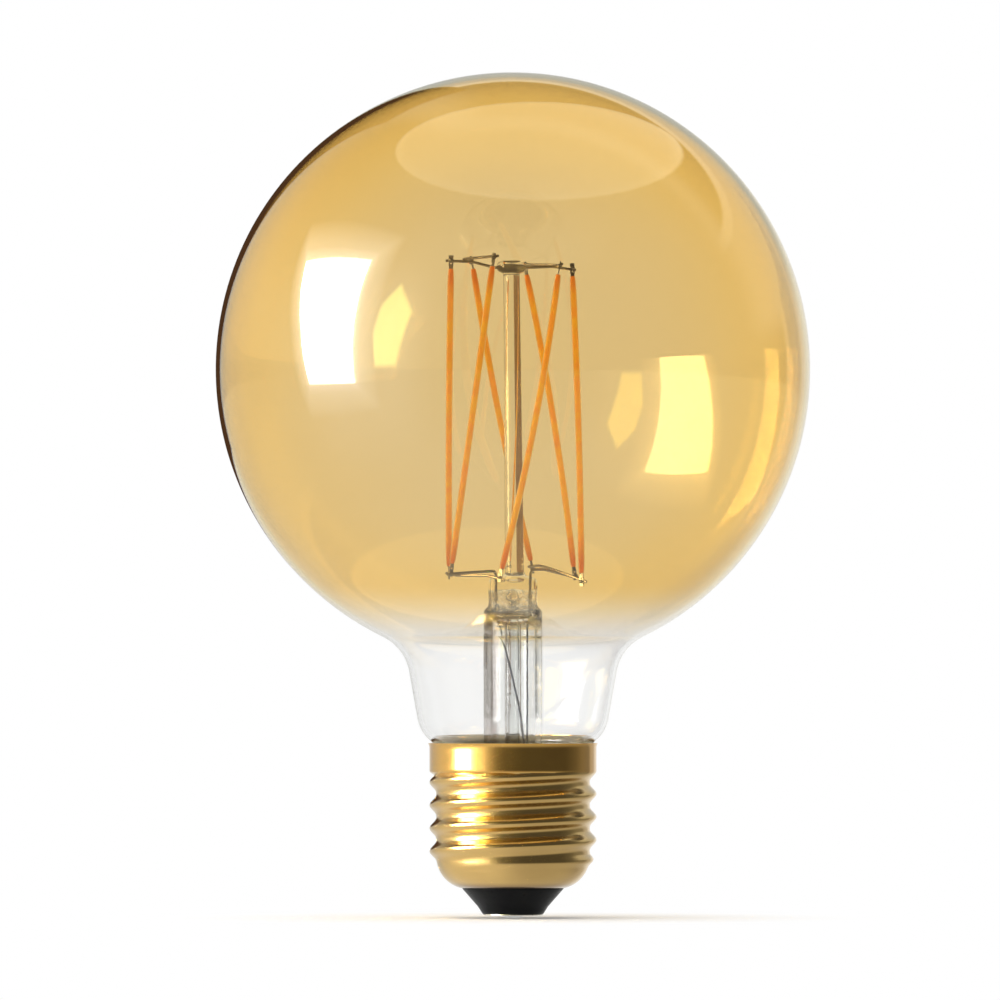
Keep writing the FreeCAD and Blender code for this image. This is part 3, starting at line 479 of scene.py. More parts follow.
def light_coat(look, low, high):
    """The strips' soft orange coat, duller near its ends, with painted light: paler grazing edges and a faint
    painted glow.
    """
    material, g, output = new_material("light_coat")
    rise = 6.0 * MM
    above_foot = level_mask(g, low, low + rise)
    near_top = level_mask(g, high - rise, high)
    middle = g.math("MULTIPLY", above_foot, g.math("SUBTRACT", 1.0, near_top))
    patches = patches_of(g, look.coat, (look.coat[0], look.coat[1] * 1.25, 0.04), 420.0)
    body = g.mix(middle, rgba(look.coat_end), patches)
    # Painted light: the coat turns paler where it lies along the view, as if lit through from behind
    shade = g.mix(g.step(g.facing(), 0.15, 0.85), body, rgba(look.coat_edge))
    roughness, height = grain_of(g, 2600.0, 0.36, 0.52)
    shader = g.principled(
        shade,
        roughness,
        g.bump(height, 0.02),
        Subsurface_Weight=0.25,
        Subsurface_Scale=0.4 * MM,
        Subsurface_Radius=(1.0, 0.45, 0.15),
        # Painted glow: the unlit coat gives off a faint light of its own colour
        Emission_Color=shade,
        Emission_Strength=look.coat_glow,
    )
    g.feed(output, "Surface", shader)
    return material


def board_face():
    """Green board with paler tracks."""
    material, g, output = new_material("board_face")
    cells = g.out("ShaderNodeTexVoronoi", 0, {"Vector": g.place(), "Scale": 420.0}, distance="MANHATTAN")
    tracks = g.step(cells, 0.42, 0.5)
    patches = patches_of(g, (0.03, 0.12, 0.05), (0.04, 0.16, 0.07), 300.0)
    shade = g.mix(tracks, patches, (0.09, 0.24, 0.11, 1))
    roughness = grain_of(g, 1800.0, 0.3, 0.45)[0]
    g.feed(output, "Surface", g.principled(shade, roughness, g.bump(tracks, 0.03)))
    return material


# Name: first colour, second colour, patch scale, grain scale, roughness limits, bump in mm, other sockets
PLAIN_FINISHES = {
    "black_glaze": (
        (0.004, 0.004, 0.0045),
        (0.007, 0.007, 0.007),
        220,
        1400,
        (0.26, 0.40),
        0.02,
        {"Specular_IOR_Level": 0.1},
    ),
    "tinned_brass": ((0.62, 0.56, 0.44), (0.72, 0.69, 0.60), 300, 1600, (0.24, 0.4), 0.02, {"Metallic": 1.0}),
    "soft_solder": ((0.58, 0.58, 0.57), (0.72, 0.72, 0.71), 700, 900, (0.28, 0.5), 0.06, {"Metallic": 1.0}),
    "cement": ((0.9, 0.9, 0.89), (0.84, 0.84, 0.82), 500, 1800, (0.8, 0.95), 0.08, {}),
    "strip_steel": ((0.20, 0.15, 0.10), (0.33, 0.26, 0.19), 900, 2200, (0.3, 0.5), 0.02, {"Metallic": 1.0}),
    "wire_steel": ((0.22, 0.17, 0.12), (0.36, 0.29, 0.21), 700, 2400, (0.25, 0.45), 0.02, {"Metallic": 1.0}),
    "lead_wire": ((0.34, 0.36, 0.42), (0.22, 0.20, 0.20), 500, 2400, (0.25, 0.4), 0.02, {"Metallic": 1.0}),
    "chip_face": ((0.75, 0.68, 0.20), (0.60, 0.62, 0.64), 1500, 3000, (0.2, 0.35), 0.01, {}),
    "black_case": ((0.012, 0.012, 0.013), (0.022, 0.022, 0.023), 500, 2600, (0.4, 0.6), 0.03, {}),
    "can_sleeve": ((0.03, 0.035, 0.06), (0.05, 0.055, 0.09), 260, 1400, (0.25, 0.4), 0.02, {}),
    "ferrite": ((0.05, 0.045, 0.042), (0.09, 0.08, 0.075), 600, 2200, (0.5, 0.75), 0.05, {}),
    "resistor_glaze": ((0.30, 0.52, 0.60), (0.24, 0.44, 0.52), 400, 1800, (0.3, 0.45), 0.02, {}),
}

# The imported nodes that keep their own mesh, by their finish
NODE_FINISHES = {
    "wire_steel": [
        "hub_wire",
        "top_bar_left",
        "top_bar_right",
        "foot_bar_left",
        "foot_bar_right",
        "inner_lead_left",
        "inner_lead_right",
    ],
    "lead_wire": ["outer_lead_left", "outer_lead_right", "centre_lead", "shell_lead"],
    "chip_face": ["led_chips"],
    "soft_solder": ["shell_solder"],
    "black_case": ["rectifier", "driver_chip"],
    "can_sleeve": ["smoothing_capacitor"],
    "ferrite": ["inductor"],
    "resistor_glaze": ["fuse_resistor"],
}


def finish_named(name):
    """One of the plain finishes, made once."""
    found = bpy.data.materials.get(name)
    if found:
        return found
    return surface_of(name, *PLAIN_FINISHES[name])


# Geometry helpers
def mesh_object(name, points, edges=(), faces=()):
    """A new object in the scene with a mesh of its own."""
    mesh = bpy.data.meshes.new(name)
    mesh.from_pydata(points, edges, faces)
    made = bpy.data.objects.new(name, mesh)
    bpy.context.scene.collection.objects.link(made)
    return made


def run_tree(obj, tree, **values):
    """Puts a geometry tree on an object with its inputs set, and turns the result into a plain mesh."""
    modifier = obj.modifiers.new(tree.name, "NODES")
    modifier.node_group = tree
    for item in tree.interface.items_tree:
        key = item.name.replace(" ", "_")
        if item.item_type == "SOCKET" and item.in_out == "INPUT" and key in values:
            modifier[item.identifier] = values[key]
    keep_evaluated(obj)


def keep_evaluated(obj):
    """Turns an object's modifiers into plain mesh."""
    obj.update_tag()
    bpy.context.view_layer.update()
    graph = bpy.context.evaluated_depsgraph_get()
    mesh = bpy.data.meshes.new_from_object(obj.evaluated_get(graph))
    obj.modifiers.clear()
    obj.data = mesh


def tidy(obj, sharp_degrees=40.0, merge_mm=MERGE_MM):
    """Merges doubles, points the faces outwards and shades the mesh smooth up to an angle."""
    mesh = obj.data
    work = bmesh.new()
    work.from_mesh(mesh)
    bmesh.ops.remove_doubles(work, verts=work.verts, dist=merge_mm * MM)
    bmesh.ops.recalc_face_normals(work, faces=work.faces)
    if work.calc_volume(signed=True) < 0:
        bmesh.ops.reverse_faces(work, faces=work.faces)
    work.to_mesh(mesh)
    work.free()
    mesh.shade_smooth()
    mesh.set_sharp_from_angle(angle=math.radians(sharp_degrees))


def dress(obj, material):
    """Gives an object one material in place of any others."""
    obj.data.materials.clear()
    obj.data.materials.append(material)


def settle(obj, slot, *nodes):
    """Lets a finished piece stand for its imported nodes."""
    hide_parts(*nodes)
    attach(obj, BODY)


def arc(centre, radius, start, end, steps):
    """Points of a turned outline, from one angle above the level to another, in degrees."""
    points = []
    for number in range(steps + 1):
        turn = math.radians(start + (end - start) * number / steps)
        points.append((centre[0] + radius * math.cos(turn), centre[1] + radius * math.sin(turn)))
    return points


# Geometry trees
def turning_tree():
    """Turns an outline once round the upright axis."""
    tree, g, start, end = new_group(
        "Turn an outline",
        "GeometryNodeTree",
        [
            ("Geometry", "NodeSocketGeometry", None),
            ("Steps", "NodeSocketInt", 96),
            ("Material", "NodeSocketMaterial", None),
        ],
        [("Geometry", "NodeSocketGeometry")],
    )
    count = g.out("GeometryNodeAttributeDomainSize", "Point Count", {"Geometry": start.outputs["Geometry"]})
    columns = g.math("ADD", start.outputs["Steps"], 1.0)
    grid = g.out("GeometryNodeMeshGrid", "Mesh", {"Vertices X": columns, "Vertices Y": count})
    index = g.out("GeometryNodeInputIndex", 0)
    row = g.math("MODULO", index, count)
    column = g.math("FLOOR", g.math("DIVIDE", g.math("ADD", index, 0.5), count))
    turn = g.math("MULTIPLY", g.math("DIVIDE", column, start.outputs["Steps"]), 2 * math.pi)
    place = g.out("GeometryNodeInputPosition", 0)
    sampled = g.out(
        "GeometryNodeSampleIndex",
        0,
        {"Geometry": start.outputs["Geometry"], "Value": place, "Index": row},
        data_type="FLOAT_VECTOR",
    )
    parts = g.add("ShaderNodeSeparateXYZ", {"Vector": sampled})
    x = g.math("MULTIPLY", parts.outputs["X"], g.math("COSINE", turn))
    y = g.math("MULTIPLY", parts.outputs["X"], g.math("SINE", turn))
    moved = g.out("ShaderNodeCombineXYZ", 0, {"X": x, "Y": y, "Z": parts.outputs["Z"]})
    placed = g.out("GeometryNodeSetPosition", 0, {"Geometry": grid, "Position": moved})
    close_tree(g, placed, start, end)
    return tree


def close_tree(g, geometry, start, end):
    """Ends a tree: doubles merged, instances made real, material set."""
    merged = g.out("GeometryNodeMergeByDistance", 0, {"Geometry": geometry, "Distance": MERGE_MM * MM})
    real = g.out("GeometryNodeRealizeInstances", 0, {"Geometry": merged})
    coated = g.out("GeometryNodeSetMaterial", 0, {"Geometry": real, "Material": start.outputs["Material"]})
    g.feed(end, "Geometry", coated)


def rolling_tree():
    """Rolls a flat blank, whose X is the turn and Y the draw-in, into the threaded screw shell."""
    sizes = ["Crest", "Root", "Pitch", "Start", "Sharpness", "Collar foot", "Collar step", "Top"]
    sizes += ["Lip height", "Lip out", "Groove", "Fade foot", "Thread end"]
    tree, g, start, end = new_group(
        "Roll the screw shell",
        "GeometryNodeTree",
        [("Geometry", "NodeSocketGeometry", None)]
        + [(name, "NodeSocketFloat", 0.0) for name in sizes]
        + [("Material", "NodeSocketMaterial", None)],
        [("Geometry", "NodeSocketGeometry")],
    )
    size = start.outputs
    place = g.out("GeometryNodeInputPosition", 0)
    parts = g.add("ShaderNodeSeparateXYZ", {"Vector": place})
    turn, drawn, z = (parts.outputs[axis] for axis in "XYZ")
    collar_low = g.math("SUBTRACT", size["Collar foot"], size["Collar step"])
    into_collar = g.step(z, collar_low, size["Collar foot"])
    turns = g.math("DIVIDE", g.math("SUBTRACT", z, size["Start"]), size["Pitch"])
    phase = g.math("SUBTRACT", g.math("MULTIPLY", turns, 2 * math.pi), turn)
    wave = g.math("MULTIPLY", g.math("ADD", g.math("COSINE", phase), 1.0), 0.5)
    crest = g.math("POWER", wave, size["Sharpness"])
    foot_high = g.math("ADD", size["Thread end"], size["Fade foot"])
    foot_fade = g.step(z, size["Thread end"], foot_high)
    depth = g.math("SUBTRACT", size["Crest"], size["Root"])
    thread = g.math("MULTIPLY", crest, foot_fade)
    blended = g.math("SMOOTH_MAX", thread, into_collar, 0.06)
    rolled = g.math("MULTIPLY", depth, g.math("MINIMUM", blended, 1.0))
    lip_low = g.math("SUBTRACT", size["Top"], size["Lip height"])
    lip_share = g.spread(z, lip_low, size["Top"])
    below_lip = g.math("MULTIPLY", lip_share, g.math("SUBTRACT", 1.0, lip_share))
    groove = g.math("MULTIPLY", below_lip, size["Groove"])
    lip = g.math("SUBTRACT", g.math("MULTIPLY", size["Lip out"], lip_share), g.math("MULTIPLY", groove, 4.0))
    radius = g.math("ADD", g.math("ADD", size["Root"], rolled), lip)
    radius = g.math("SUBTRACT", radius, drawn)
    x = g.math("MULTIPLY", radius, g.math("COSINE", turn))
    y = g.math("MULTIPLY", radius, g.math("SINE", turn))
    moved = g.out("ShaderNodeCombineXYZ", 0, {"X": x, "Y": y, "Z": z})
    placed = g.out("GeometryNodeSetPosition", 0, {"Geometry": start.outputs["Geometry"], "Position": moved})
    close_tree(g, placed, start, end)
    return tree


def coating_tree():
    """Sweeps a coat with tapered, slightly uneven ends along a strip's axis."""
    tree, g, start, end = new_group(
        "Coat a strip",
        "GeometryNodeTree",
        [
            ("Geometry", "NodeSocketGeometry", None),
            ("Width", "NodeSocketFloat", 1.0),
            ("End width", "NodeSocketFloat", 0.8),
            ("Taper", "NodeSocketFloat", 0.05),
            ("Steps", "NodeSocketInt", 20),
            ("Seed", "NodeSocketFloat", 0.0),
            ("Material", "NodeSocketMaterial", None),
        ],
        [("Geometry", "NodeSocketGeometry")],
    )
    line = g.out("GeometryNodeMeshToCurve", 0, {0: start.outputs["Geometry"]})
    share = g.out("GeometryNodeSplineParameter", "Factor")
    nearest_end = g.math("MINIMUM", share, g.math("SUBTRACT", 1.0, share))
    swell = g.math("SQRT", g.spread(nearest_end, 0.0, start.outputs["Taper"]))
    place = g.out("GeometryNodeInputPosition", 0)
    shifted = g.out("ShaderNodeVectorMath", 0, {0: place, 1: start.outputs["Seed"]}, operation="ADD")
    uneven = g.spread(g.noise(shifted, 160.0, 2.0), 0.3, 0.7, 0.985, 1.0)
    width = g.spread(swell, 0.0, 1.0, start.outputs["End width"], start.outputs["Width"])
    radius = g.math("MULTIPLY", g.math("MULTIPLY", width, 0.5), uneven)
    thick = g.out("GeometryNodeSetCurveRadius", 0, {"Curve": line, "Radius": radius})
    ring = g.out("GeometryNodeCurvePrimitiveCircle", 0, {"Resolution": start.outputs["Steps"], "Radius": 1.0})
    inputs = {"Curve": thick, "Profile Curve": ring, "Fill Caps": True}
    inputs["Scale"] = g.out("GeometryNodeInputRadius", 0)
    close_tree(g, g.out("GeometryNodeCurveToMesh", 0, inputs), start, end)
    return tree


def bead_tree():
    """Sets small uneven beads of weld metal on points."""
    tree, g, start, end = new_group(
        "Weld beads",
        "GeometryNodeTree",
        [
            ("Geometry", "NodeSocketGeometry", None),
            ("Radius", "NodeSocketFloat", 0.3 * MM),
            ("Seed", "NodeSocketInt", 7),
            ("Material", "NodeSocketMaterial", None),
        ],
        [("Geometry", "NodeSocketGeometry")],
    )
    points = g.out("GeometryNodeMeshToPoints", 0, {0: start.outputs["Geometry"]})
    ball = g.out("GeometryNodeMeshIcoSphere", 0, {"Radius": start.outputs["Radius"], "Subdivisions": 3})
    stretch = g.out(
        "FunctionNodeRandomValue",
        0,
        {"Min": (0.75, 0.75, 0.6), "Max": (1.15, 1.15, 1.0), "Seed": start.outputs["Seed"]},
        data_type="FLOAT_VECTOR",
    )
    beads = g.out("GeometryNodeInstanceOnPoints", 0, {"Points": points, "Instance": ball, "Scale": stretch})
    real = g.out("GeometryNodeRealizeInstances", 0, {"Geometry": beads})
    place = g.out("GeometryNodeInputPosition", 0)
    rough = g.spread(g.noise(place, 2600.0, 2.0), 0.3, 0.7, -0.05 * MM, 0.05 * MM)
    normal = g.out("GeometryNodeInputNormal", 0)
    push = g.out("ShaderNodeVectorMath", 0, {0: normal, "Scale": rough}, operation="SCALE")
    lumpy = g.out("GeometryNodeSetPosition", 0, {"Geometry": real, "Offset": push})
    close_tree(g, lumpy, start, end)
    return tree


TREES = {}


def tree_named(name):
    """A geometry tree, built when it is first asked for."""
    if name not in TREES:
        makers = {"turn": turning_tree, "roll": rolling_tree, "coat": coating_tree, "beads": bead_tree}
        TREES[name] = makers[name]()
    return TREES[name]


def turned_piece(name, outline, steps, material):
    """A closed piece turned from an outline of radius and height, given in metres."""
    points = [(r, 0.0, z) for r, z in outline]
    edges = [(n, n + 1) for n in range(len(points) - 1)]
    piece = mesh_object(name, points, edges)
    run_tree(piece, tree_named("turn"), Steps=steps, Material=material)
    tidy(piece)
    return piece


# Globe
def glass_outline(size, inset):
    """The envelope's outline moved inwards by inset, from the top of the globe to the neck's end."""
    radius = (glass_high.x - glass_low.x) / 2 - size.clearance
    centre = Vector((0.0, glass_high.z - radius - size.clearance))
    slant = size.neck_taper
    slant_degrees = math.degrees(slant)
    outward = Vector((math.cos(slant), -math.sin(slant)))
    upward = Vector((math.sin(slant), math.cos(slant)))
    neck_foot = Vector((size.neck_width / 2, size.neck_foot))
    beside = neck_foot + outward * size.neck_fillet - centre
    reach = radius + size.neck_fillet
    along = beside.dot(upward)
    rise = -along - math.sqrt(along**2 - beside.length**2 + reach**2)
    fillet_centre = centre + beside + upward * rise
    to_fillet = fillet_centre - centre
    globe_end = math.degrees(math.atan2(to_fillet.y, to_fillet.x))
    shoulder_centre = neck_foot - outward * size.shoulder
    both = size.shoulder + size.throat
    level = size.shoulder * outward.x + size.throat - (size.neck_width - size.end_width) / 2
    turn = math.degrees(math.acos(level / both))
    turned_in = math.radians(turn)
    throat_centre = shoulder_centre + Vector((both * math.cos(turned_in), -both * math.sin(turned_in)))
    end_r = size.end_width / 2 - inset
    points = arc(centre, radius - inset, 90, globe_end, 90)
    points += arc(fillet_centre, size.neck_fillet + inset, globe_end + 180, 180 - slant_degrees, 24)
    points += arc(shoulder_centre, size.shoulder - inset, -slant_degrees, -turn, 12)
    points += arc(throat_centre, size.throat + inset, 180 - turn, 180, 8)
    return points + [(end_r, glass_low.z)]


class BULB_OT_globe(bpy.types.Operator):
    """Blow the tinted glass globe with its neck"""

    bl_idname = "bulb.globe"
    bl_label = "Blow the globe"

    def execute(self, context):
        size = context.scene.bulb_globe
        outline = glass_outline(size, 0.0) + glass_outline(size, size.wall)[::-1]
        globe = turned_piece("globe", outline, size.steps, amber_glass(size))
        globe.data.set_sharp_from_angle(angle=math.radians(70.0))
        settle(globe, "amber_glass", "glass_envelope")
        return {"FINISHED"}


# Stem
def merged_copy(name, node):
    """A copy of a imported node's mesh with its doubles merged."""
    made = bpy.data.objects.new(name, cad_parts[node].data.copy())
    bpy.context.scene.collection.objects.link(made)
    tidy(made)
    return made


def plug(work, low, high, radius, steps=24):
    """Adds an upright closed cylinder to a mesh being edited."""
    upward = high - low
    turn = upward.to_track_quat("Z", "Y").to_matrix().to_4x4()
    turn.translation = (low + high) / 2
    bmesh.ops.create_cone(
        work, cap_ends=True, segments=steps, radius1=radius, radius2=radius, depth=upward.length, matrix=turn
    )


def fill_sockets(work, press_top):
    """Closes the stem's sockets round the wires and the rod, so that the glass holds them tightly."""
    wire_plug, rod_plug = 0.36 * MM, 1.4 * MM
    under_wire, under_rod, under_tube_top = 0.8 * MM, 0.2 * MM, 0.6 * MM
    under_press_top, over_press_top, over_tube_top = 0.7 * MM, 0.25 * MM, 0.15 * MM
    held_below = press_top - 0.9 * MM
    for side in ("left", "right"):
        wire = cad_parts["inner_lead_" + side].data.vertices
        held = [v.co for v in wire if v.co.z < held_below]
        x = sum(p.x for p in held) / len(held)
        low = min(p.z for p in held)
        plug(work, Vector((x, 0, low - under_wire)), Vector((x, 0, press_top - under_press_top)), wire_plug)
    rod_foot = rod_ends()[0]
    x = rod_foot.x / 2
    plug(work, Vector((x, 0, rod_foot.z - under_rod)), Vector((x, 0, press_top + over_press_top)), rod_plug)
    tube_low, tube_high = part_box("exhaust_tube")
    tube_r = (tube_high.x - tube_low.x) / 2
    top = tube_high.z
    plug(work, Vector((0, 0, top - under_tube_top)), Vector((0, 0, top + over_tube_top)), tube_r)


def round_hollow(work, steps=48):
    """Adds glass round the top of the stem's hollow, so that it ends in a dome round the exhaust tube."""
    low = 45.4 * MM
    hollow_r = 3.58 * MM
    in_wall_r = 3.7 * MM
    bore_r = 1.45 * MM
    cover = 0.6 * MM
    dome = arc((bore_r, low), hollow_r - bore_r, 0, 90, 8)
    top = max(z for _, z in dome) + cover
    section = [(in_wall_r, low)] + dome + [(bore_r, top), (in_wall_r, top)]
    rings = []
    for n in range(steps):
        turn = 2 * math.pi * n / steps
        rings.append([work.verts.new((r * math.cos(turn), r * math.sin(turn), z)) for r, z in section])
    for n in range(steps):
        first, second = rings[n], rings[(n + 1) % steps]
        for m in range(len(section)):
            following = (m + 1) % len(section)
            work.faces.new((first[m], second[m], second[following], first[following]))


def rod_ends():
    """The middle of the rod's foot and of the button on its top."""
    low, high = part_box("support_rod")
    points = [v.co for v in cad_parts["support_rod"].data.vertices]
    near = 0.6 * MM
    foot = [p.x for p in points if p.z < low.z + near]
    top = [p.x for p in points if p.z > high.z - near]
    foot_x = (min(foot) + max(foot)) / 2
    top_x = (min(top) + max(top)) / 2
    return Vector((foot_x, 0, low.z)), Vector((top_x, 0, high.z))


def rod_outline(size, foot, top):
    """The solid rod and its melted button as one closed outline."""
    half = size.button_height / 2
    fillet = 0.35 * MM
    button_z = top.z - half
    flat = size.button_width / 2 - half
    neck_z = button_z - half
    top_r = size.rod_top / 2
    points = [(0.0, top.z)]
    points += arc((flat, button_z), half, 90, -84, 14)
    points += arc((top_r + fillet, neck_z - fillet), fillet, 90, 180, 5)
    return points + [(size.rod_foot / 2, foot.z), (0.0, foot.z)]


def lean(piece, foot, top):
    """Shifts a turned piece sideways from its foot to its top."""
    for vertex in piece.data.vertices:
        share = (vertex.co.z - foot.z) / (top.z - foot.z)
        vertex.co.x += foot.x + (top.x - foot.x) * share


def melt_stem(size, press_top):
    """The flare tube and its press as one melted glass shape."""
    stem = merged_copy("stem", "stem_flare")
    work = bmesh.new()
    work.from_mesh(stem.data)
    fill_sockets(work, press_top)
    round_hollow(work)
    bmesh.ops.recalc_face_normals(work, faces=work.faces)
    work.to_mesh(stem.data)
    work.free()
    remesh = stem.modifiers.new("Melt", "REMESH")
    remesh.mode = "VOXEL"
    remesh.voxel_size = size.voxel
    smooth = stem.modifiers.new("Smooth", "SMOOTH")
    smooth.iterations = size.smoothing
    keep_evaluated(stem)
    tidy(stem, 80.0, 0.01)
    return stem


def exhaust_outline():
    """The exhaust tube with its melted foot, up to where it joins the press."""
    low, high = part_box("exhaust_tube")
    outer = (high.x - low.x) / 2 - HAIR
    bore = outer - 0.55 * MM
    foot_glass = 0.5 * MM
    join = high.z - 0.62 * MM
    outline = arc((0.0, low.z + outer), outer, -90, 0, 8) + [(outer, join), (bore, join)]
    return outline + arc((0.0, low.z + 2 * bore + foot_glass), bore, 0, -90, 6)


class BULB_OT_stem(bpy.types.Operator):
    """Melt the clear glass stem, its exhaust tube and the support rod"""

    bl_idname = "bulb.stem"
    bl_label = "Melt the stem"

    def execute(self, context):
        size = context.scene.bulb_stem
        material = clear_glass(size)
        beside_tube = 3 * MM
        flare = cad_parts["stem_flare"].data.vertices
        press_top = max(v.co.z for v in flare if abs(v.co.x) > beside_tube)
        stem = melt_stem(size, press_top)
        dress(stem, material)
        settle(stem, "clear_glass", "stem_flare")

        exhaust = turned_piece("exhaust", exhaust_outline(), 64, material)
        settle(exhaust, "clear_glass", "exhaust_tube")

        foot, top = rod_ends()
        foot.z = press_top + 0.52 * MM
        rod = turned_piece("rod_and_button", rod_outline(size, foot, top), 72, material)
        lean(rod, foot, top)
        settle(rod, "clear_glass", "support_rod")
        return {"FINISHED"}


# Cap
def shell_blank(size):
    """The flat blank: a grid with the turn as X, the draw-in as Y and the height as Z, through both walls."""
    collar_rows, thread_rows, bend_rows = 14, 110, 18
    collar_foot = shell_high.z - size.collar
    centre_r = size.root - size.foot_bend
    sunk = math.acos((size.foot_hole - centre_r) / size.foot_bend)
    bend_z = shell_low.z + size.foot_bend * math.sin(sunk)
    rows = []
    for row in range(collar_rows):
        rows.append((shell_high.z + (collar_foot - shell_high.z) * row / collar_rows, 0.0))
    for row in range(thread_rows):
        rows.append((collar_foot + (bend_z - collar_foot) * row / thread_rows, 0.0))
    for row in range(bend_rows + 1):
        turn = sunk * row / bend_rows
        rows.append((bend_z - size.foot_bend * math.sin(turn), size.foot_bend * (1 - math.cos(turn))))
    inner = [(z, drawn + size.sheet) for z, drawn in rows[::-2]]
    rows = rows + inner + rows[:1]
    points = []
    for column in range(size.steps + 1):
        turn = 2 * math.pi * column / size.steps
        points += [(turn, drawn, z) for z, drawn in rows]
    count = len(rows)
    faces = []
    for column in range(size.steps):
        for row in range(count - 1):
            corner = column * count + row
            faces.append((corner, corner + 1, corner + count + 1, corner + count))
    return points, faces


class BULB_OT_screw_shell(bpy.types.Operator):
    """Roll the threaded brass shell"""

    bl_idname = "bulb.screw_shell"
    bl_label = "Roll the screw shell"

    def execute(self, context):
        size = context.scene.bulb_cap
        points, faces = shell_blank(size)
        shell = mesh_object("screw_shell", points, faces=faces)
        run_tree(
            shell,
            tree_named("roll"),
            Crest=size.crest,
            Root=size.root,
            Pitch=size.pitch,
            Start=size.start,
            Sharpness=size.sharpness,
            Collar_foot=shell_high.z - size.collar,
            Collar_step=size.collar_step,
            Top=shell_high.z,
            Lip_height=size.lip_height,
            Lip_out=size.lip_out,
            Groove=size.groove,
            Fade_foot=size.fade_foot,
            Thread_end=shell_low.z + size.end_above_foot,
            Material=rolled_brass(size),
        )
        tidy(shell, 50.0)
        settle(shell, "cap_brass", "cap_shell")
        return {"FINISHED"}


def cement_outline(size, globe):
    """The cement's ring between the neck's end and the collar, filled up to just under the rim."""
    collar_r = size.crest - size.sheet - HAIR
    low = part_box("basing_cement")[0].z
    top = shell_high.z - 0.03 * MM
    sag = 0.1 * MM
    against_glass = [(r, z) for r, z in glass_outline(globe, -HAIR) if low < z < top and r < collar_r]
    foot_r = globe.end_width / 2 + HAIR
    return [(collar_r, top - sag)] + against_glass + [(foot_r, low), (collar_r, low)]


class BULB_OT_cement(bpy.types.Operator):
    """Fill the ring of cement between the glass and the collar"""

    bl_idname = "bulb.cement"
    bl_label = "Fill the cement"

    def execute(self, context):
        outline = cement_outline(context.scene.bulb_cap, context.scene.bulb_globe)
        ring = turned_piece("cement_ring", outline + outline[:1], 128, finish_named("cement"))
        settle(ring, "cement", "basing_cement")
        return {"FINISHED"}


class BULB_OT_cap_foot(bpy.types.Operator):
    """Turn the black insulator, the centre contact and its drop of solder"""

    bl_idname = "bulb.cap_foot"
    bl_label = "Turn the cap's foot"

    def execute(self, context):
        for name, node, slot, finish, sharp in (
            ("insulator", "cap_insulator", "black_insulator", "black_glaze", 24.0),
            ("contact", "centre_contact", "tin_contact", "tinned_brass", 30.0),
            ("contact_solder", "solder_dome", "solder", "soft_solder", 30.0),
        ):
            piece = merged_copy(name, node)
            tidy(piece, sharp)
            bevel = piece.modifiers.new("Soft edges", "BEVEL")
            bevel.width = 0.05 * MM
            bevel.segments = 2
            bevel.limit_method = "ANGLE"
            bevel.angle_limit = math.radians(sharp)
            keep_evaluated(piece)
            piece.data.shade_smooth()
            piece.data.set_sharp_from_angle(angle=math.radians(sharp))
            dress(piece, finish_named(finish))
            settle(piece, slot, node)
        return {"FINISHED"}


# Light strips: the welds' distance from the coats' ends, and their beads
WELD_REACH = 1.35 * MM
WELD_RADIUS = 0.42 * MM
WELD_SEED = 11

# What sets one coat's unevenness apart from the next
COAT_SEED = 0.37


def coat_axis(node, rings):
    """Points along a coat's bowed middle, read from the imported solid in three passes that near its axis."""
    points = [v.co.copy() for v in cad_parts[node].data.vertices]
    top = max(points, key=lambda p: p.z)
    foot = min(points, key=lambda p: p.z)
    end_band = 0.05 * MM
    for _ in range(3):
        along = (top - foot).normalized()
        reach = [p.dot(along) for p in points]
        high, low = max(reach), min(reach)
        near_top = [p for p, r in zip(points, reach) if r > high - end_band]
        near_foot = [p for p, r in zip(points, reach) if r < low + end_band]
        top = middle_of(near_top)
        foot = middle_of(near_foot)
    pull = Vector()
    weight = 0.0
    for p in points:
        share = (p - foot).dot(along) / (top - foot).length
        if 0.08 < share < 0.92:
            bulge = 4 * share * (1 - share)
            pull += (p - foot - (top - foot) * share) * bulge
            weight += bulge**2
    bow = pull / weight if weight else Vector()
    bow -= along * bow.dot(along)
    line = []
    for number in range(rings + 1):
        share = number / rings
        line.append(foot + (top - foot) * share + bow * 4 * share * (1 - share))
    return line


def middle_of(points):
    """The middle of the circle that points lie on, from their spread."""
    low = Vector([min(p[n] for p in points) for n in range(3)])
    high = Vector([max(p[n] for p in points) for n in range(3)])
    return (low + high) / 2


class BULB_OT_strips(bpy.types.Operator):
    """Coat the six light strips and set their weld beads"""

    bl_idname = "bulb.strips"
    bl_label = "Coat the strips"

    def execute(self, context):
        size = context.scene.bulb_strips
        low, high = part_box("phosphor_1")
        material = light_coat(size, low.z, high.z)
        steel = finish_named("strip_steel")
        welds = []
        for number in range(1, 7):
            line = coat_axis("phosphor_%d" % number, size.rings)
            run = (line[-1] - line[0]).length
            edges = [(n, n + 1) for n in range(len(line) - 1)]
            coat = mesh_object("coat_%d" % number, line, edges)
            run_tree(
                coat,
                tree_named("coat"),
                Width=size.width,
                End_width=size.end_width,
                Taper=size.taper / run,
                Steps=size.steps,
                Seed=COAT_SEED * number,
                Material=material,
            )
            tidy(coat, 50.0)
            settle(coat, "phosphor_coat", "phosphor_%d" % number)
            along = (line[-1] - line[0]).normalized()
            welds += [line[-1] + along * WELD_REACH, line[0] - along * WELD_REACH]
            dress(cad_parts["filament_%d" % number], steel)
        beads = mesh_object("weld_beads", welds)
        run_tree(beads, tree_named("beads"), Radius=WELD_RADIUS, Seed=WELD_SEED, Material=steel)
        tidy(beads, 60.0)
        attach(beads, BODY)
        return {"FINISHED"}


